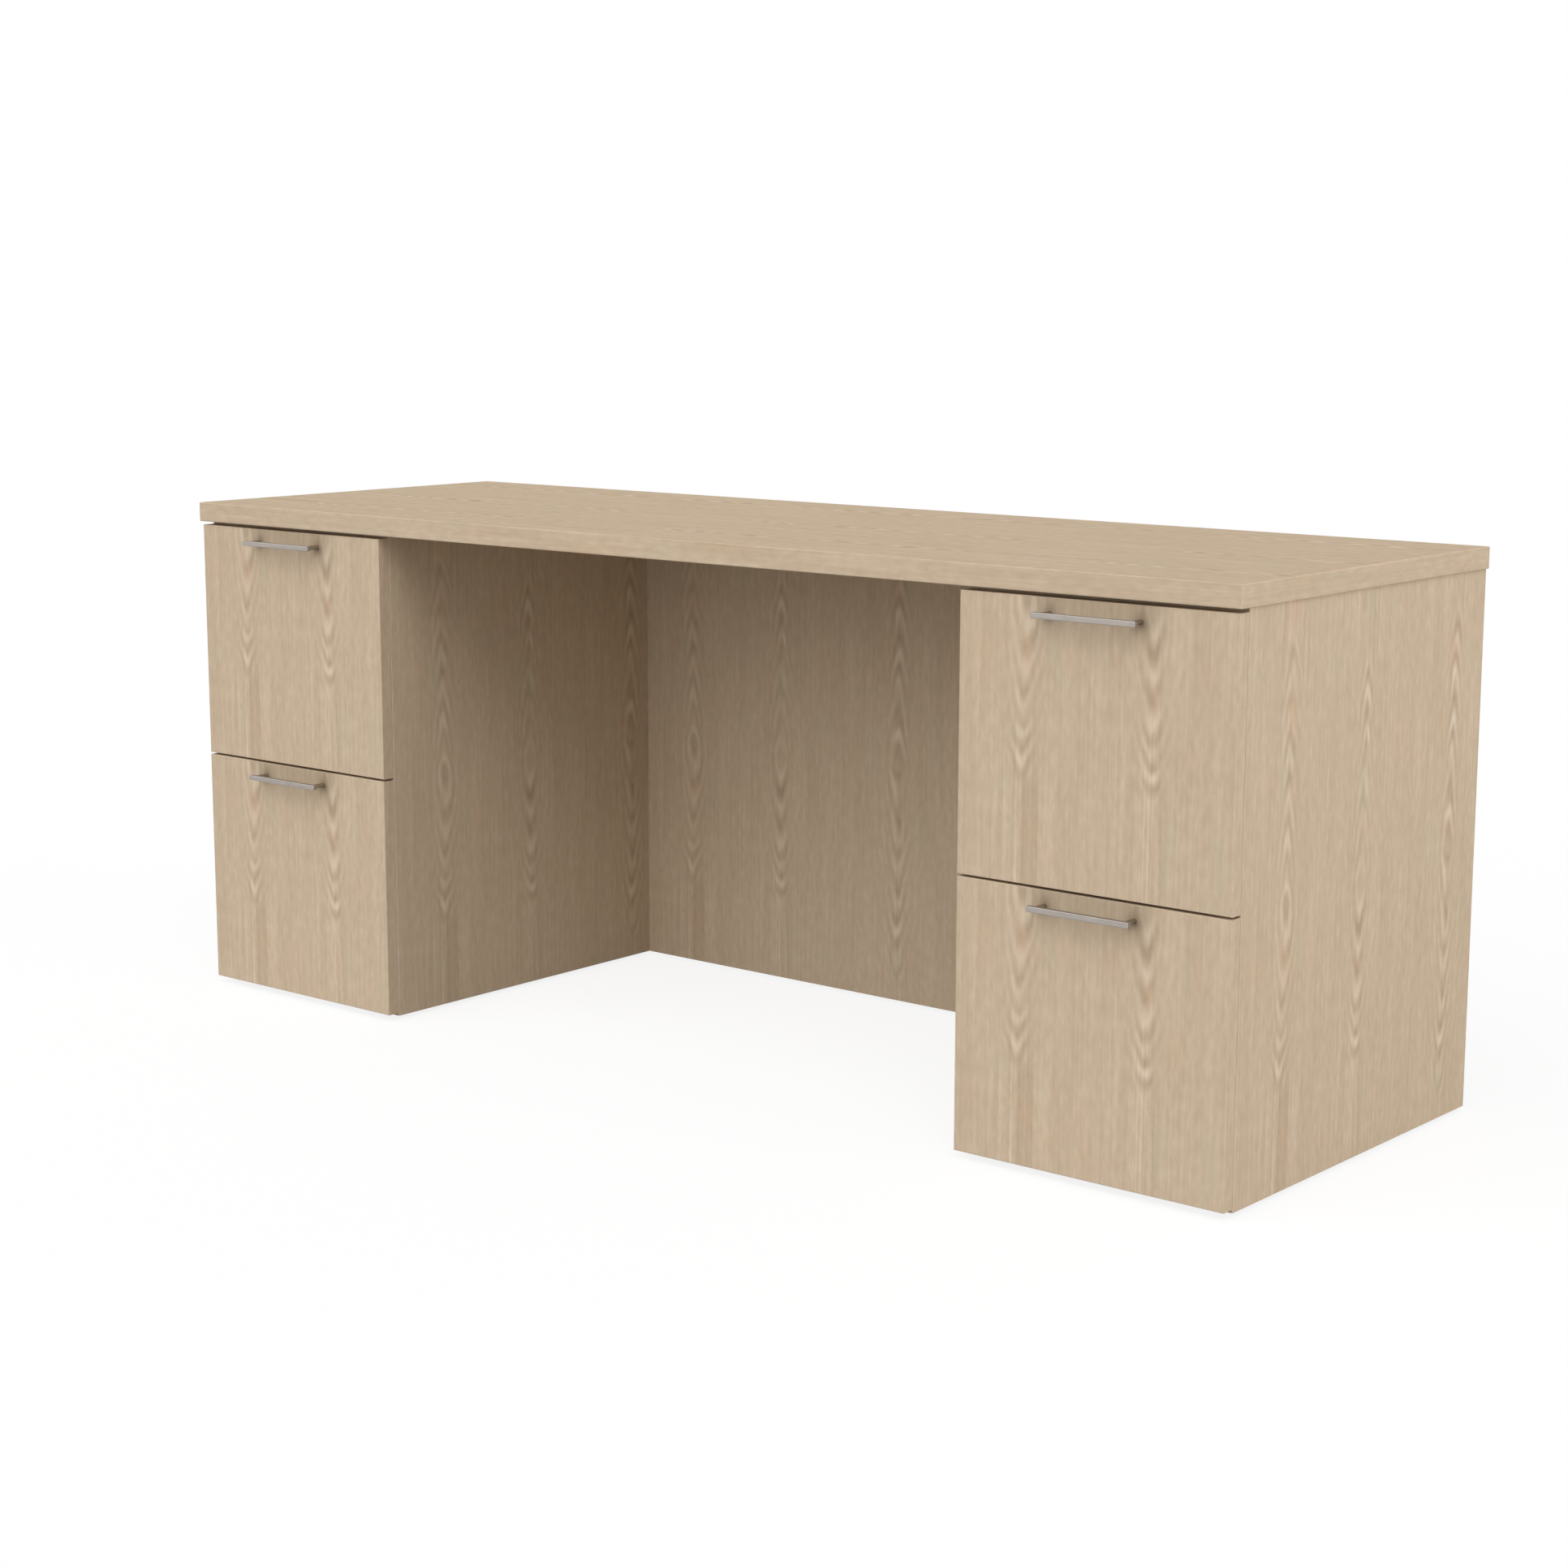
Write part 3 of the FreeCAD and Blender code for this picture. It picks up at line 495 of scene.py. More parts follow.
    def tinted(self, sheet: PrintSheet, colour: Socket, near: Socket) -> Socket:
        """Adds faint rose and sage patches, mostly near the rows.

        Args:
            sheet: The print's node sheet.
            colour: The colour of the print.
            near: The nearness of a row, up to 1.

        Returns:
            The tinted colour.
        """
        strength = sheet.math("MULTIPLY", near, self.tint_share)
        for layer, patch_colour in ((self.rose_layer, self.rose), (self.sage_layer, self.sage)):
            patch = sheet.math("ADD", sheet.streaks(self.tint_counts, layer), MIDDLE)
            share = sheet.math("MULTIPLY", sheet.rise(patch, *self.tint_edges), strength)
            colour = sheet.tint(share, colour, patch_colour)
        return colour

    def on_board(
        self, name: str, lay: BoardLay, shift: float = 0.0, posts: Optional[tuple[Vector, Vector]] = None
    ) -> bpy.types.Material:
        """Makes the material of one board, with the print starting at the board's first corner.

        Args:
            name: The board's node.
            lay: The way that the board lies.
            shift: How far across the grain the print starts from that corner.
            posts: The feet of a bar pull's posts, where the board carries a pull; shade is painted round
                them.

        Returns:
            The board's material.
        """
        low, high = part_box(name)
        sheet = SurfaceSheet.named(f"{self.name}_{name}")
        place = sheet.parts(sheet.place)
        group = sheet.add("ShaderNodeGroup", node_tree=self.print_group())
        for label, axis, start in zip(BOARD_INPUTS, lay.value, (shift, 0.0, 0.0)):
            offset = sheet.math("SUBTRACT", place[axis.value], low[axis.value] + start)
            sheet.feed(group.inputs[label], offset)
        along = lay.value[1].value
        group.inputs["Length"].default_value = high[along] - low[along]
        sheet.shader.inputs["Specular IOR Level"].default_value = self.gloss
        colour = self.with_painted_shade(sheet, group.outputs["Colour"], posts) if posts else group.outputs["Colour"]
        return sheet.finish(colour, group.outputs["Roughness"], group.outputs["Height"], self.relief)

    def with_painted_shade(self, sheet: SurfaceSheet, colour: Socket, posts: tuple[Vector, Vector]) -> Socket:
        """Paints soft shade into the print's colour round a bar pull's posts and along its bar.

        Args:
            sheet: The board's node sheet.
            colour: The colour of the print.
            posts: The feet of the pull's posts.

        Returns:
            The colour with the painted shade.
        """
        for post in posts:
            fed = {0: sheet.place, 1: tuple(post)}
            distance = sheet.add("ShaderNodeVectorMath", fed, operation="DISTANCE").outputs["Value"]
            near = sheet.bell(distance, self.post_shade_reach)
            colour = sheet.tint(sheet.math("MULTIPLY", near, self.post_shade), colour, self.painted_shade)
        # Painted shade along the bar, centred a little above the posts' feet
        middle = (posts[0] + posts[1]) / 2 + Vector((0.0, 0.0, self.pull_shade_rise))
        half_length = (posts[1] - posts[0]).length / 2
        away = sheet.add("ShaderNodeVectorMath", {0: sheet.place, 1: tuple(middle)}, operation="SUBTRACT")
        parts = sheet.parts(away.outputs[0])
        past_end = sheet.math("SUBTRACT", sheet.math("ABSOLUTE", parts["X"]), half_length)
        beside = sheet.length(sheet.math("MAXIMUM", past_end, 0.0), parts["Z"])
        near = sheet.bell(beside, self.pull_shade_reach)
        return sheet.tint(sheet.math("MULTIPLY", near, self.pull_shade), colour, self.painted_shade)


@dataclass(frozen=True, kw_only=True)
class Finish:
    """A finish in two tones, from the low end of a pattern to its high end."""

    name: str
    tones: tuple[Colour, Colour]
    tone_edges: Pair
    roughness: Pair
    relief: float
    metallic: float = 0.0

    @cache
    def material(self) -> bpy.types.Material:
        """Makes the finish's material once.

        Returns:
            The material.
        """
        sheet = SurfaceSheet.named(self.name)
        tone, sheen, height = self.patterns(sheet)
        sheet.shader.inputs["Metallic"].default_value = self.metallic
        colour = self.toned(sheet, sheet.ramp(tone, dict(zip(self.tone_edges, self.tones))))
        return sheet.finish(colour, sheet.blend(sheen, *self.roughness), height, self.relief)

    def patterns(self, sheet: SurfaceSheet) -> tuple[Socket, Socket, Socket]:
        """The patterns of the tone, the roughness and the relief, which each kind of finish adds."""
        raise NotImplementedError

    def toned(self, sheet: SurfaceSheet, colour: Socket) -> Socket:
        """The colour as it is; a kind of finish with more tones adds them here."""
        return colour


@dataclass(frozen=True, kw_only=True)
class PlainBoard(Finish):
    """Pale melamine-faced board with a faint straight grain."""

    grain: tuple[float, float, float]
    grain_detail: float = 3.0
    tone_edges: Pair = (0.3, 0.7)
    roughness: Pair = (0.5, 0.62)
    relief: float = 0.00003

    def patterns(self, sheet: SurfaceSheet) -> tuple[Socket, Socket, Socket]:
        """Adds the grain, which is all three."""
        grain = sheet.stretched(self.grain, self.grain_detail)
        return grain, grain, grain


@dataclass(frozen=True, kw_only=True)
class RolledMetal(Finish):
    """Metal with fine lines along the way that it was drawn, brushed or rolled."""

    lines: tuple[float, float, float]
    line_detail: float = 3.0
    cloud_count: float = 60.0
    cloud_share: float = 0.4
    tone_edges: Pair = (0.35, 0.65)
    relief: float = 0.00001
    metallic: float = 1.0

    def patterns(self, sheet: SurfaceSheet) -> tuple[Socket, Socket, Socket]:
        """Adds the lines, with clouds over them for the tone and the roughness.

        Args:
            sheet: The material's node sheet.

        Returns:
            The patterns of the tone, the roughness and the relief.
        """
        lines = sheet.stretched(self.lines, self.line_detail)
        tone = sheet.blend(self.cloud_share, lines, sheet.noise(sheet.place, self.cloud_count))
        return tone, tone, lines


@dataclass(frozen=True, kw_only=True)
class PullNickel(RolledMetal):
    """Satin nickel of a bar pull, with painted shade: the posts behind the bar take a warmer, browner tone.
    """

    # Painted shade: the tone of the posts, which stand in the shade of the bar
    posts: Colour = screen_colour(162, 152, 138)
    post_node: str = "left_upper_pull"
    bar_depth: float = 0.0072
    turn_depth: float = 0.002

    def toned(self, sheet: SurfaceSheet, colour: Socket) -> Socket:
        """Paints shade on the posts behind the bar, as a warmer, browner tone.

        Args:
            sheet: The material's node sheet.
            colour: The colour of the bar.

        Returns:
            The colour of bar and posts.
        """
        bar_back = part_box(self.post_node)[0].y + self.bar_depth
        painted_shade_share = sheet.rise(sheet.parts(sheet.place)["Y"], bar_back, bar_back + self.turn_depth)
        return sheet.tint(painted_shade_share, colour, self.posts)


@dataclass(frozen=True, kw_only=True)
class MouldedPlastic(Finish):
    """Moulded plastic with a fine spark-eroded texture."""

    cloud_count: float = 70.0
    cloud_detail: float = 3.0
    pit_count: float = 2600.0
    pit_detail: float = 1.0
    tone_edges: Pair = (0.3, 0.75)
    roughness: Pair = (0.48, 0.66)
    relief: float = 0.00003

    def patterns(self, sheet: SurfaceSheet) -> tuple[Socket, Socket, Socket]:
        """Adds clouds of wear for the tone, and the pits of the texture.

        Args:
            sheet: The material's node sheet.

        Returns:
            The patterns of the tone, the roughness and the relief.
        """
        clouds = sheet.noise(sheet.place, self.cloud_count, self.cloud_detail)
        pits = sheet.noise(sheet.place, self.pit_count, self.pit_detail)
        return clouds, pits, pits


OAK = OakLaminate()
BOX_BOARD = PlainBoard(
    name="box_board",
    tones=(screen_colour(205, 190, 163), screen_colour(221, 208, 184)),
    grain=(30.0, 12.0, 220.0),
)
BEECH = PlainBoard(
    name="beech",
    tones=(screen_colour(186, 146, 107), screen_colour(214, 178, 140)),
    grain=(40.0, 700.0, 700.0),
)
SATIN_NICKEL = PullNickel(
    name="satin_nickel",
    tones=(screen_colour(152, 145, 139), screen_colour(166, 160, 154)),
    roughness=(0.42, 0.52),
    lines=(25.0, 1800.0, 1800.0),
)
SLIDE_STEEL = RolledMetal(
    name="slide_steel",
    tones=(screen_colour(172, 176, 180), screen_colour(196, 199, 203)),
    roughness=(0.26, 0.40),
    lines=(900.0, 14.0, 900.0),
)
CAGE_STEEL = RolledMetal(
    name="cage_steel",
    tones=(screen_colour(118, 119, 121), screen_colour(150, 150, 150)),
    roughness=(0.34, 0.50),
    lines=(900.0, 30.0, 900.0),
)
BALL_STEEL = RolledMetal(
    name="ball_steel",
    tones=(screen_colour(200, 202, 206), screen_colour(214, 216, 219)),
    roughness=(0.10, 0.18),
    lines=(900.0, 900.0, 900.0),
)
ZINC = RolledMetal(
    name="zinc",
    tones=(screen_colour(164, 166, 169), screen_colour(196, 197, 198)),
    roughness=(0.30, 0.46),
    lines=(700.0, 700.0, 120.0),
)
RAIL_PLASTIC = MouldedPlastic(
    name="rail_plastic", tones=(screen_colour(34, 34, 35), screen_colour(48, 48, 49))
)
GLIDE_NYLON = MouldedPlastic(
    name="glide_nylon", tones=(screen_colour(28, 28, 29), screen_colour(52, 51, 50))
)
BUMPER_VINYL = MouldedPlastic(
    name="bumper_vinyl", tones=(screen_colour(208, 204, 197), screen_colour(184, 180, 172))
)


@dataclass(frozen=True)
class TrimFinish:
    """The finish of small pieces, and the name of a slot, which this script does not read."""

    finish: Finish
    slot: str


class Trim(Enum):
    """What the small pieces are made of."""

    SCREW = TrimFinish(ZINC, "zinc")
    BUMPER = TrimFinish(BUMPER_VINYL, "glide_nylon")


def dress(node: str, material: bpy.types.Material) -> None:
    """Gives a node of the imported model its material.

    Args:
        node: The node's name.
        material: The material.
    """
    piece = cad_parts[node]
    for slot in piece.material_slots:
        slot.material = material
    if not piece.material_slots:
        piece.data.materials.append(material)
    log.info("%s wears %s", node, material.name)


def add_object(name: str, data: bpy.types.ID) -> bpy.types.Object:
    """Puts an object into the scene at the origin.

    Args:
        name: The object's name.
        data: Its mesh, lamp or camera.

    Returns:
        The object.
    """
    piece = bpy.data.objects.new(name, data)
    bpy.context.scene.collection.objects.link(piece)
    return piece


def aimed(azimuth: float, elevation: float) -> Matrix:
    """The turn of a lamp or a camera that looks back from an azimuth and an elevation, in degrees."""
    turn = Matrix.Rotation(math.radians(azimuth), 4, "Z")
    return turn @ Matrix.Rotation(math.radians(90.0 - elevation), 4, "X")


@dataclass
class NodesRecipe(NodeSheet):
    """The sheet of a geometry node tree that repeats a shape at the vertices of a mesh."""

    @classmethod
    def named(cls, name: str, asked: dict[str, str]) -> "NodesRecipe":
        """Starts a new tree.

        Args:
            name: The tree's name.
            asked: The kinds of its inputs by label.

        Returns:
            The sheet of the new tree.
        """
        tree = bpy.data.node_groups.new(name, "GeometryNodeTree")
        for way in ("INPUT", "OUTPUT"):
            tree.interface.new_socket("Geometry", in_out=way, socket_type="NodeSocketGeometry")
        for label, kind in asked.items():
            tree.interface.new_socket(label, in_out="INPUT", socket_type=f"NodeSocket{kind}")
        return cls(tree)

    def end(self, instances: Socket, finish: Socket) -> None:
        """Ends the tree with real geometry, smooth faces and the finish.

        Args:
            instances: The repeated shapes.
            finish: The material socket.
        """
        real = self.add("GeometryNodeRealizeInstances", {"Geometry": instances})
        smooth = self.add("GeometryNodeSetShadeSmooth", {"Geometry": real.outputs["Geometry"]})
        shapes = smooth.outputs["Geometry"]
        dressed = self.add("GeometryNodeSetMaterial", {"Geometry": shapes, "Material": finish})
        self.add("NodeGroupOutput", {"Geometry": dressed.outputs["Geometry"]})

    def grow(self, name: str, seeds: bpy.types.Mesh, values: dict[str, object]) -> bpy.types.Object:
        """Runs the tree on a mesh of seed points and keeps the result as a plain mesh.

        Args:
            name: The name of the finished piece.
            seeds: The mesh whose vertices carry the shapes.
            values: The values of the tree's inputs by label.

        Returns:
            The finished piece.
        """
        host = add_object(f"{name}_seeds", seeds)
        modifier = host.modifiers.new(self.tree.name, "NODES")
        modifier.node_group = self.tree
        for item in self.tree.interface.items_tree:
            if item.in_out == "INPUT" and item.name in values:
                modifier[item.identifier] = values[item.name]
        bpy.context.view_layer.update()
        shaped = host.evaluated_get(bpy.context.evaluated_depsgraph_get())
        mesh = bpy.data.meshes.new_from_object(shaped)
        mesh.name = name
        host.modifiers.remove(modifier)
        bpy.data.objects.remove(host)
        log.info("%s has %d faces", name, len(mesh.polygons))
        return add_object(name, mesh)


def seed_mesh(name: str, spots: list[Vector], facing: Optional[Vector] = None) -> bpy.types.Mesh:
    """Makes a mesh of loose vertices.

    Args:
        name: The mesh's name.
        spots: The places of the vertices.
        facing: The way that they all face, where that matters.

    Returns:
        The mesh, with that way in an attribute named facing.
    """
    mesh = bpy.data.meshes.new(name)
    mesh.from_pydata([tuple(spot) for spot in spots], [], [])
    if facing is not None:
        attribute = mesh.attributes.new("facing", "FLOAT_VECTOR", "POINT")
        for item in attribute.data:
            item.vector = facing
    return mesh


def spots_across(xs: Pair, y: float, heights: Pair) -> list[Vector]:
    """The four spots at two places across the width and two heights, at one depth."""
    return [Vector((x, y, z)) for x in xs for z in heights]


def ball_recipe() -> NodesRecipe:
    """Builds the tree that sets straight rows of balls from their first places.

    Returns:
        The tree's sheet.
    """
    asks = {"Ball radius": "Float", "Balls in a row": "Int", "Step": "Vector", "Finish": "Material"}
    recipe = NodesRecipe.named("ball_rows", asks)
    asked = recipe.add("NodeGroupInput").outputs
    line = {"Count": asked["Balls in a row"], "Offset": asked["Step"]}
    row = recipe.add("GeometryNodeMeshLine", line, mode="OFFSET").outputs["Mesh"]
    rows = recipe.add("GeometryNodeInstanceOnPoints", {"Points": asked["Geometry"], "Instance": row})
    spread = recipe.add("GeometryNodeRealizeInstances", {"Geometry": rows.outputs["Instances"]})
    places = spread.outputs["Geometry"]
    sphere = {"Segments": BALL_SEGMENTS, "Rings": BALL_RINGS, "Radius": asked["Ball radius"]}
    ball = recipe.add("GeometryNodeMeshUVSphere", sphere).outputs["Mesh"]
    balls = recipe.add("GeometryNodeInstanceOnPoints", {"Points": places, "Instance": ball})
    recipe.end(balls.outputs["Instances"], asked["Finish"])
    return recipe


def fastener_recipe() -> NodesRecipe:
    """Builds the tree that sets a fastener on each seed point, facing its way and turned at random.

    Returns:
        The tree's sheet.
    """
    asks = {"Fastener": "Object", "Turn seed": "Int", "Finish": "Material"}
    recipe = NodesRecipe.named("fasteners", asks)
    asked = recipe.add("NodeGroupInput").outputs
    pattern = recipe.add("GeometryNodeObjectInfo", {"Object": asked["Fastener"]})
    facing = recipe.add("GeometryNodeInputNamedAttribute", {"Name": "facing"}, data_type="FLOAT_VECTOR")
    way = facing.outputs["Attribute"]
    aligned = recipe.add("FunctionNodeAlignRotationToVector", {"Vector": way}, axis="Z")
    chance = recipe.add("FunctionNodeRandomValue", {"Seed": asked["Turn seed"]}, data_type="FLOAT")
    most = next(item for item in chance.inputs if item.name == "Max" and item.type == "VALUE")
    most.default_value = math.pi
    turn = next(item for item in chance.outputs if item.type == "VALUE")
    spin = recipe.add("FunctionNodeAxisAngleToRotation", {"Axis": (0.0, 0.0, 1.0), "Angle": turn})
    turning = {"Rotation": aligned.outputs["Rotation"], "Rotate By": spin.outputs["Rotation"]}
    turned = recipe.add("FunctionNodeRotateRotation", turning, rotation_space="LOCAL")
    placing = {
        "Points": asked["Geometry"],
        "Instance": pattern.outputs["Geometry"],
        "Rotation": turned.outputs["Rotation"],
    }
    placed = recipe.add("GeometryNodeInstanceOnPoints", placing)
    recipe.end(placed.outputs["Instances"], asked["Finish"])
    return recipe


@dataclass(frozen=True)
class RoundHead:
    """A low domed round piece that stands on z = 0, such as a screw's head or a bumper.

    The steps of its dome are shares of its radius and of its height.
    """

    name: str
    radius: float
    height: float
    trim: Trim
    steps: tuple[Pair, ...] = ((1.0, 0.45), (0.9, 0.78), (0.68, 1.0))
    sunk: float = 0.0002
    sides: int = 24

    def ring(self, shape: bmesh.types.BMesh, share: float, level: float) -> Corners:
        """Adds a ring of vertices.

        Args:
            shape: The mesh being built.
            share: The ring's radius as a share of the head's.
            level: The ring's height.

        Returns:
            The vertices.
        """
        turn = 2 * math.pi / self.sides
        reach = self.radius * share
        return [
            shape.verts.new((reach * math.cos(step * turn), reach * math.sin(step * turn), level))
            for step in range(self.sides)
        ]

    def wall(self, shape: bmesh.types.BMesh, low: Corners, high: Corners) -> None:
        """Joins two loops of as many vertices by a wall.

        Args:
            shape: The mesh being built.
            low: The lower loop.
            high: The upper loop.
        """
        for step in range(len(low)):
            follow = (step + 1) % len(low)
            shape.faces.new((low[step], low[follow], high[follow], high[step]))

    def cap(self, shape: bmesh.types.BMesh, rim: Corners) -> None:
        """Closes the top with a flat face."""
        shape.faces.new(rim)

    @cache
    def pattern(self) -> bpy.types.Object:
        """Builds the piece once.

        Returns:
            An object that the fastener tree copies.
        """
        shape = bmesh.new()
        rings = [self.ring(shape, 1.0, -self.sunk)]
        rings += [self.ring(shape, share, self.height * level) for share, level in self.steps]
        for low, high in zip(rings, rings[1:]):
            self.wall(shape, low, high)
        shape.faces.new(list(reversed(rings[0])))
        self.cap(shape, rings[-1])
        bmesh.ops.recalc_face_normals(shape, faces=shape.faces)
        mesh = bpy.data.meshes.new(self.name)
        shape.to_mesh(mesh)
        shape.free()
        return add_object(self.name, mesh)


@dataclass(frozen=True)
class ScrewHead(RoundHead):
    """A round screw head with a cross recess, whose sizes are shares of the head's."""

    recess: float = 0.55
    arm: float = 0.16
    recess_taper: float = 0.72
    recess_floor: float = 0.3

    def cross(self, shape: bmesh.types.BMesh, scale: float, level: float) -> Corners:
        """Adds the outline of a cross.

        Args:
            shape: The mesh being built.
            scale: The cross's size beside the recess's own.
            level: The outline's height.

        Returns:
            The twelve vertices.
        """
        long, short = self.radius * self.recess * scale, self.radius * self.arm * scale
        corners = []
        for quarter in range(4):
            turn = Matrix.Rotation(quarter * math.pi / 2, 3, "Z")
            spots = ((long, -short, level), (long, short, level), (short, short, level))
            corners += [turn @ Vector(spot) for spot in spots]
        return [shape.verts.new(corner) for corner in corners]

    def cap(self, shape: bmesh.types.BMesh, rim: Corners) -> None:
        """Closes the top round a cross recess.

        Args:
            shape: The mesh being built.
            rim: The topmost ring.
        """
        mouth = self.cross(shape, 1.0, self.height)
        floor = self.cross(shape, self.recess_taper, self.height * self.recess_floor)
        self.wall(shape, mouth, floor)
        shape.faces.new(floor)
        edges = [
            shape.edges.get((loop[step], loop[(step + 1) % len(loop)]))
            for loop in (rim, mouth)
            for step in range(len(loop))
        ]
        bmesh.ops.triangle_fill(shape, edges=edges, use_beauty=True)


FLAT_SCREW = ScrewHead("flat_screw", radius=0.0034, height=0.0009, trim=Trim.SCREW)
PAN_SCREW = ScrewHead("pan_screw", radius=0.0035, height=0.0018, trim=Trim.SCREW)
WOOD_SCREW = ScrewHead("wood_screw", radius=0.0042, height=0.0022, trim=Trim.SCREW)
BUMPER = RoundHead("bumper", radius=0.0048, height=0.0005, trim=Trim.BUMPER)


@dataclass
class Workshop:
    """The node trees and the patterns of small round pieces that the sub-assemblies share."""

    balls: NodesRecipe = field(default_factory=ball_recipe)
    fasteners: NodesRecipe = field(default_factory=fastener_recipe)
    heads: tuple[RoundHead, ...] = (FLAT_SCREW, PAN_SCREW, WOOD_SCREW, BUMPER)

    def set_pieces(self, name: str, head: RoundHead, spots: list[Vector], facing: Vector, body: str) -> None:
        """Sets round pieces of one shape on a body.

        Args:
            name: The name of the set.
            head: The shape of a piece.
            spots: The places of the pieces.
            facing: The way that they all face.
            body: The body that carries them.
        """
        trim = head.trim.value
        values = {"Fastener": head.pattern(), "Turn seed": len(name), "Finish": trim.finish.material()}
        piece = self.fasteners.grow(name, seed_mesh(f"{name}_seeds", spots, facing), values)
        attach(piece, body)

    def clear_patterns(self) -> None:
        """Removes the patterns once every copy is made."""
        for head in self.heads:
            bpy.data.objects.remove(head.pattern())


@dataclass
class Case:
    """The fixed carcase: worktop, pedestals, kneespace panel and their fittings."""

    boards: dict[BoardLay, tuple[str, ...]] = field(
        default_factory=lambda: {
            BoardLay.FLAT_ALONG_WIDTH: ("worktop",),
            BoardLay.FACING_SIDE: (
                "left_outer_side",
                "left_inner_side",
                "right_inner_side",
                "right_outer_side",
            ),
            BoardLay.FACING_FRONT: ("kneespace_back_panel", "left_pedestal_back", "right_pedestal_back"),
            BoardLay.FLAT_ALONG_DEPTH: (
                "left_pedestal_bottom",
                "right_pedestal_bottom",
                "left_top_rails",
                "right_top_rails",
            ),
        }
    )
    print_shifts: dict[str, float] = field(
        default_factory=lambda: {"worktop": 0.046, "right_outer_side": 0.0225, "left_inner_side": 0.0225}
    )
    fittings: dict[str, Finish] = field(
        default_factory=lambda: {
            "levelling_glides": GLIDE_NYLON,
            "panel_dowels": BEECH,
            "panel_cams": ZINC,
            "worktop_screws": ZINC,
        }
    )

    def build(self) -> None:
        """Dresses every board and fitting of the carcase."""
        for lay, nodes in self.boards.items():
            for node in nodes:
                dress(node, OAK.on_board(node, lay, self.print_shifts.get(node, 0.0)))
        for node, finish in self.fittings.items():
            dress(node, finish.material())


@dataclass
class DrawerGroup:
    """Pieces of one drawer, whose names start with the drawer's position."""

    shop: Workshop
    position: str

    def node(self, name: str) -> str:
        """The full name of one of this drawer's nodes, bodies or pieces."""
        return f"{self.position}_{name}"


@dataclass
class Drawer(DrawerGroup):
    """One drawer: front, bar pull, box and file rails, with the screws that hold them together."""

    box_board: float = 0.012
    pull_post_inset: float = 0.0090
    front_screw_inset: float = 0.055
    front_screw_rises: Pair = (0.060, 0.200)
    bumper_inset: float = 0.0093
    bumper_rise: float = 0.022

    def build(self) -> None:
        """Dresses the drawer's nodes and adds its screws and bumpers."""
        front = self.node("drawer_front")
        posts = self.post_spots(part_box(front)[0].y)
        # The front's print carries painted shade round the pull's posts and along its bar
        dress(front, OAK.on_board(front, BoardLay.FACING_FRONT, posts=posts))
        # The pull's posts carry painted shade in their tone
        dress(self.node("pull"), SATIN_NICKEL.material())
        for name in ("box_sides", "box_ends", "box_bottom"):
            dress(self.node(name), BOX_BOARD.material())
        dress(self.node("file_rails"), RAIL_PLASTIC.material())
        self.set_behind("pull_screws", PAN_SCREW, list(self.post_spots(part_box(front)[1].y)))
        self.set_behind("front_screws", WOOD_SCREW, self.front_screw_spots())
        self.set_behind("bumpers", BUMPER, self.bumper_spots())

    def set_behind(self, name: str, head: RoundHead, spots: list[Vector]) -> None:
        """Sets round pieces on the drawer, facing backwards."""
        self.shop.set_pieces(self.node(name), head, spots, BACKWARDS, self.node("drawer"))

    def post_spots(self, y: float) -> tuple[Vector, Vector]:
        """Finds the middles of the pull's posts.

        Args:
            y: Where along the posts.

        Returns:
            The left and the right spot.
        """
        low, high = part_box(self.node("pull"))
        middle = (low.z + high.z) / 2
        inset = self.pull_post_inset
        return Vector((low.x + inset, y, middle)), Vector((high.x - inset, y, middle))

    def front_screw_spots(self) -> list[Vector]:
        """Finds the spots inside the box where screws draw the front up to it.

        Returns:
            The spots of the four screws.
        """
        low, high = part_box(self.node("box_sides"))
        xs = (low.x + self.front_screw_inset, high.x - self.front_screw_inset)
        heights = (low.z + self.front_screw_rises[0], low.z + self.front_screw_rises[1])
        return spots_across(xs, low.y + self.box_board, heights)

    def bumper_spots(self) -> list[Vector]:
        """Finds the spots behind the front's corners where bumpers meet the edges of the case.

        Returns:
            The spots of the four bumpers.
        """
        low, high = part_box(self.node("drawer_front"))
        xs = (low.x + self.bumper_inset, high.x - self.bumper_inset)
        return spots_across(xs, high.y, (low.z + self.bumper_rise, high.z - self.bumper_rise))


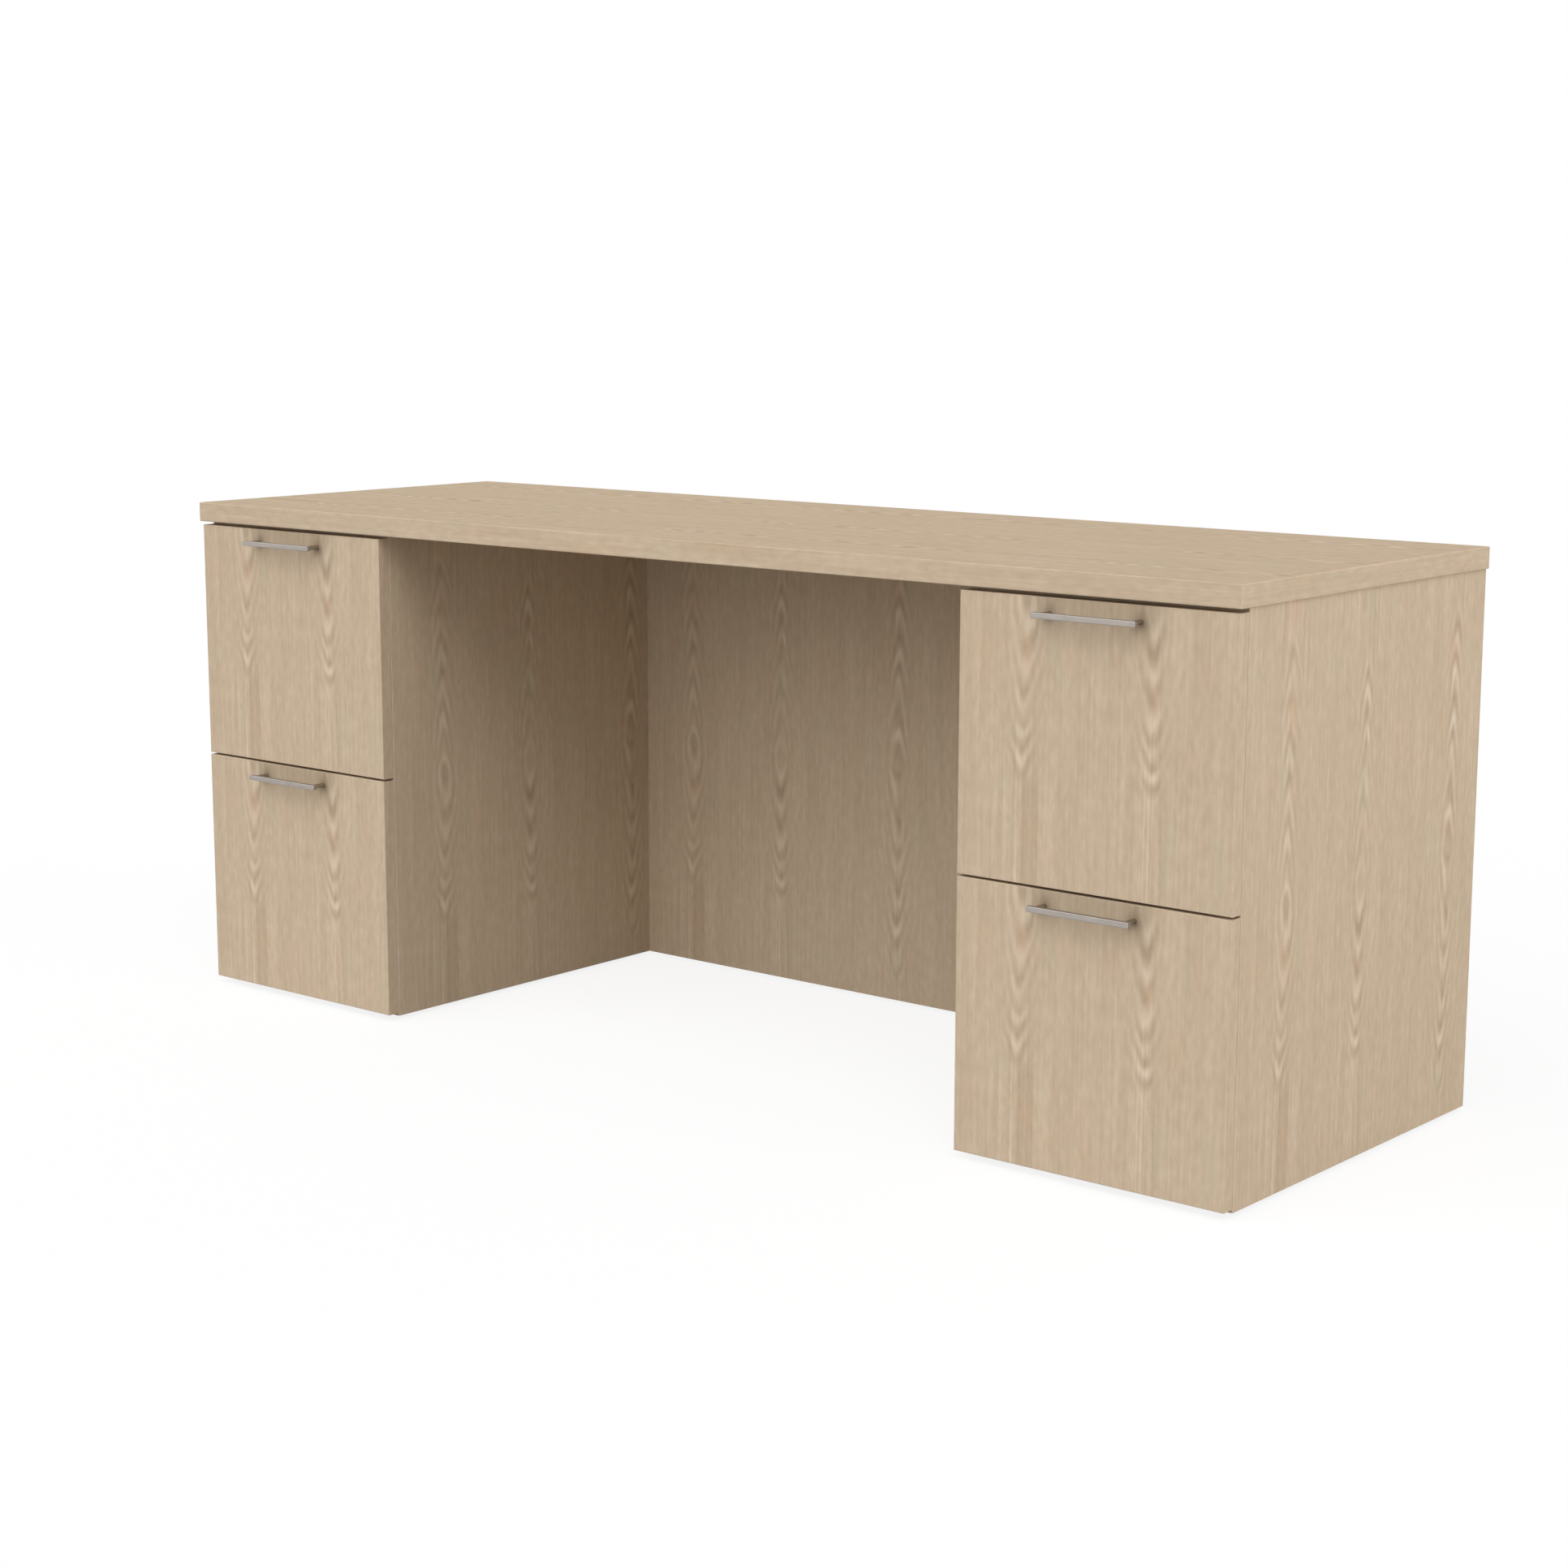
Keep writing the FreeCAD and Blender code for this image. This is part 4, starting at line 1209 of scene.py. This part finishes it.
@dataclass
class SlidePair(DrawerGroup):
    """The left and right telescopic slides of one drawer, with their balls and mounting screws."""

    sheet: float = 0.0012
    cage_sheet: float = 0.0006
    cage_widths: dict[str, float] = field(default_factory=lambda: {"outer": 0.0070, "inner": 0.0044})
    ball_radius: float = 0.00155
    balls_in_row: int = 12
    row_margin: float = 0.009
    case_screw_places: tuple[float, ...] = (0.030, 0.375, 0.465)
    drawer_screw_places: tuple[float, ...] = (0.040, 0.250, 0.460)

    def build(self) -> None:
        """Dresses the members and cages, and adds the balls and screws."""
        for name in ("case", "middle", "drawer"):
            dress(self.node(f"slide_{name}_members"), SLIDE_STEEL.material())
        for name in ("outer", "inner"):
            dress(self.node(f"{name}_ball_cages"), CAGE_STEEL.material())
            self.add_balls(name)
        self.add_case_screws()
        self.add_drawer_screws()

    def add_balls(self, name: str) -> None:
        """Adds the rows of balls that one pair of cages holds.

        Args:
            name: Which cages, outer or inner.
        """
        low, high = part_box(self.node(f"{name}_ball_cages"))
        inset = (self.cage_widths[name] + self.cage_sheet) / 2
        half_sheet = self.cage_sheet / 2
        heights = (low.z + half_sheet, high.z - half_sheet)
        seeds = spots_across((low.x + inset, high.x - inset), low.y + self.row_margin, heights)
        step = (high.y - low.y - 2 * self.row_margin) / (self.balls_in_row - 1)
        values = {
            "Ball radius": self.ball_radius,
            "Balls in a row": self.balls_in_row,
            "Step": (0.0, step, 0.0),
            "Finish": BALL_STEEL.material(),
        }
        piece_name = self.node(f"{name}_balls")
        piece = self.shop.balls.grow(piece_name, seed_mesh(f"{piece_name}_seeds", seeds), values)
        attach(piece, self.node(f"{name}_cages"))

    def add_case_screws(self) -> None:
        """Adds the flat screws that hold the case members to the gables."""
        low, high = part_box(self.node("slide_case_members"))
        middle = (low.z + high.z) / 2
        webs = (("left", low.x + self.sheet, 1.0), ("right", high.x - self.sheet, -1.0))
        for side, x, way in webs:
            spots = [Vector((x, low.y + place, middle)) for place in self.case_screw_places]
            name = self.node(f"{side}_case_member_screws")
            self.shop.set_pieces(name, FLAT_SCREW, spots, Vector((way, 0.0, 0.0)), "case")

    def add_drawer_screws(self) -> None:
        """Adds the pan-head screws that hold the drawer members to the box."""
        low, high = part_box(self.node("slide_drawer_members"))
        box_low, box_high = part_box(self.node("box_sides"))
        middle = (low.z + high.z) / 2
        webs = (("left", box_low.x - self.sheet, -1.0), ("right", box_high.x + self.sheet, 1.0))
        for side, x, way in webs:
            spots = [Vector((x, low.y + place, middle)) for place in self.drawer_screw_places]
            name = self.node(f"{side}_drawer_member_screws")
            self.shop.set_pieces(name, PAN_SCREW, spots, Vector((way, 0.0, 0.0)), self.node("drawer"))


@dataclass(frozen=True)
class SoftLamp:
    """A wide lamp far off, placed and spread in degrees; its level is the light on a surface square to it."""

    name: str
    azimuth: float
    elevation: float
    level: float
    spread: float

    def build(self) -> None:
        """Adds the lamp."""
        data = bpy.data.lights.new(self.name, "SUN")
        data.angle = math.radians(self.spread)
        data.energy = self.level * math.pi
        add_object(self.name, data).matrix_world = aimed(self.azimuth, self.elevation)

    def on_floor(self) -> float:
        """The light that the lamp throws on an open floor."""
        return self.level * math.sin(math.radians(self.elevation))


@dataclass
class Studio:
    """A white studio: pale floor, even soft light and the camera."""

    eye: tuple[float, float, float] = (2.5899, -3.1089, 1.08925)
    heading: float = 39.79
    dip: float = 9.96
    roll: float = 0.086
    lens: float = 66.40
    sensor: float = 36.0
    floor_size: float = 24.0
    floor_pale: Colour = (0.45, 0.45, 0.45, 1.0)
    white: Colour = (1.0, 1.0, 1.0, 1.0)
    shadow_share: float = 0.15
    surround_level: float = 0.33
    lamps: tuple[SoftLamp, ...] = (
        SoftLamp("front_lamp", 0.0, 40.0, 0.588, 80.0),
        SoftLamp("front_left_lamp", -60.0, 20.0, 0.125, 50.0),
        SoftLamp("front_right_lamp", 50.0, 45.0, 0.228, 34.0),
        SoftLamp("right_lamp", 97.0, 5.0, 0.472, 24.0),
        SoftLamp("back_lamp", 180.0, 5.0, 0.240, 24.0),
    )

    def build(self) -> None:
        """Builds the floor, the light and the camera."""
        self.add_floor()
        self.add_world()
        for lamp in self.lamps:
            lamp.build()
        self.add_camera()

    def add_floor(self) -> None:
        """Adds a pale floor that the camera sees white, with a soft shadow."""
        half = self.floor_size / 2
        mesh = bpy.data.meshes.new("studio_floor")
        corners = [(-half, -half, 0.0), (half, -half, 0.0), (half, half, 0.0), (-half, half, 0.0)]
        mesh.from_pydata(corners, [], [(0, 1, 2, 3)])
        floor = add_object("studio_floor", mesh)
        mesh.materials.append(self.floor_material())

    def floor_material(self) -> bpy.types.Material:
        """Makes the floor's material, which is white in open light as the camera sees it.

        Returns:
            The material.
        """
        material = bpy.data.materials.new("studio_floor")
        material.use_nodes = True
        sheet = NodeSheet(material.node_tree)
        sheet.tree.nodes.clear()
        seen = self.seen(sheet)
        matte = sheet.add("ShaderNodeBsdfDiffuse", {"Color": sheet.tint(seen, self.floor_pale, self.white)})
        open_light = self.surround_level + sum(lamp.on_floor() for lamp in self.lamps)
        glow_share = 1.0 - self.shadow_share
        strength = (1.0 - self.shadow_share * open_light) / glow_share
        glow = sheet.add("ShaderNodeEmission", {"Strength": strength})
        seen_glow = sheet.math("MULTIPLY", seen, glow_share)
        mixed = sheet.add("ShaderNodeMixShader", {0: seen_glow, 1: matte.outputs[0], 2: glow.outputs[0]})
        sheet.add("ShaderNodeOutputMaterial", {"Surface": mixed.outputs[0]})
        return material

    def seen(self, sheet: NodeSheet) -> Socket:
        """Adds the share of rays that show the background itself.

        Args:
            sheet: The node sheet.

        Returns:
            One for rays from the camera, or by way of gloss or glass, and zero for light.
        """
        path = sheet.add("ShaderNodeLightPath").outputs
        gloss = sheet.math("MAXIMUM", path["Is Glossy Ray"], path["Is Transmission Ray"])
        return sheet.math("MAXIMUM", path["Is Camera Ray"], gloss)

    def add_world(self) -> None:
        """Adds an even surround that the camera sees white."""
        world = bpy.data.worlds.new("studio_surround")
        world.use_nodes = True
        sheet = NodeSheet(world.node_tree)
        surround = sheet.tree.nodes["Background"].inputs
        surround["Color"].default_value = self.white
        sheet.feed(surround["Strength"], sheet.blend(self.seen(sheet), self.surround_level, 1.0))
        bpy.context.scene.world = world

    def add_camera(self) -> None:
        """Adds the camera at the viewing angle of the photograph."""
        data = bpy.data.cameras.new("camera")
        data.lens = self.lens
        data.sensor_width = self.sensor
        camera = add_object("camera", data)
        roll = Matrix.Rotation(math.radians(self.roll), 4, "Z")
        camera.matrix_world = Matrix.Translation(self.eye) @ aimed(self.heading, self.dip) @ roll
        bpy.context.scene.camera = camera


def main() -> None:
    """Builds the studio and dresses the credenza, one sub-assembly after another."""
    logging.basicConfig(level=logging.INFO, format="%(name)s: %(message)s")
    bpy.context.scene.view_settings.view_transform = "Standard"
    Studio().build()
    shop = Workshop()
    Case().build()
    for position in POSITIONS:
        Drawer(shop, position).build()
        SlidePair(shop, position).build()
    shop.clear_patterns()


if __name__ == "__main__":
    main()
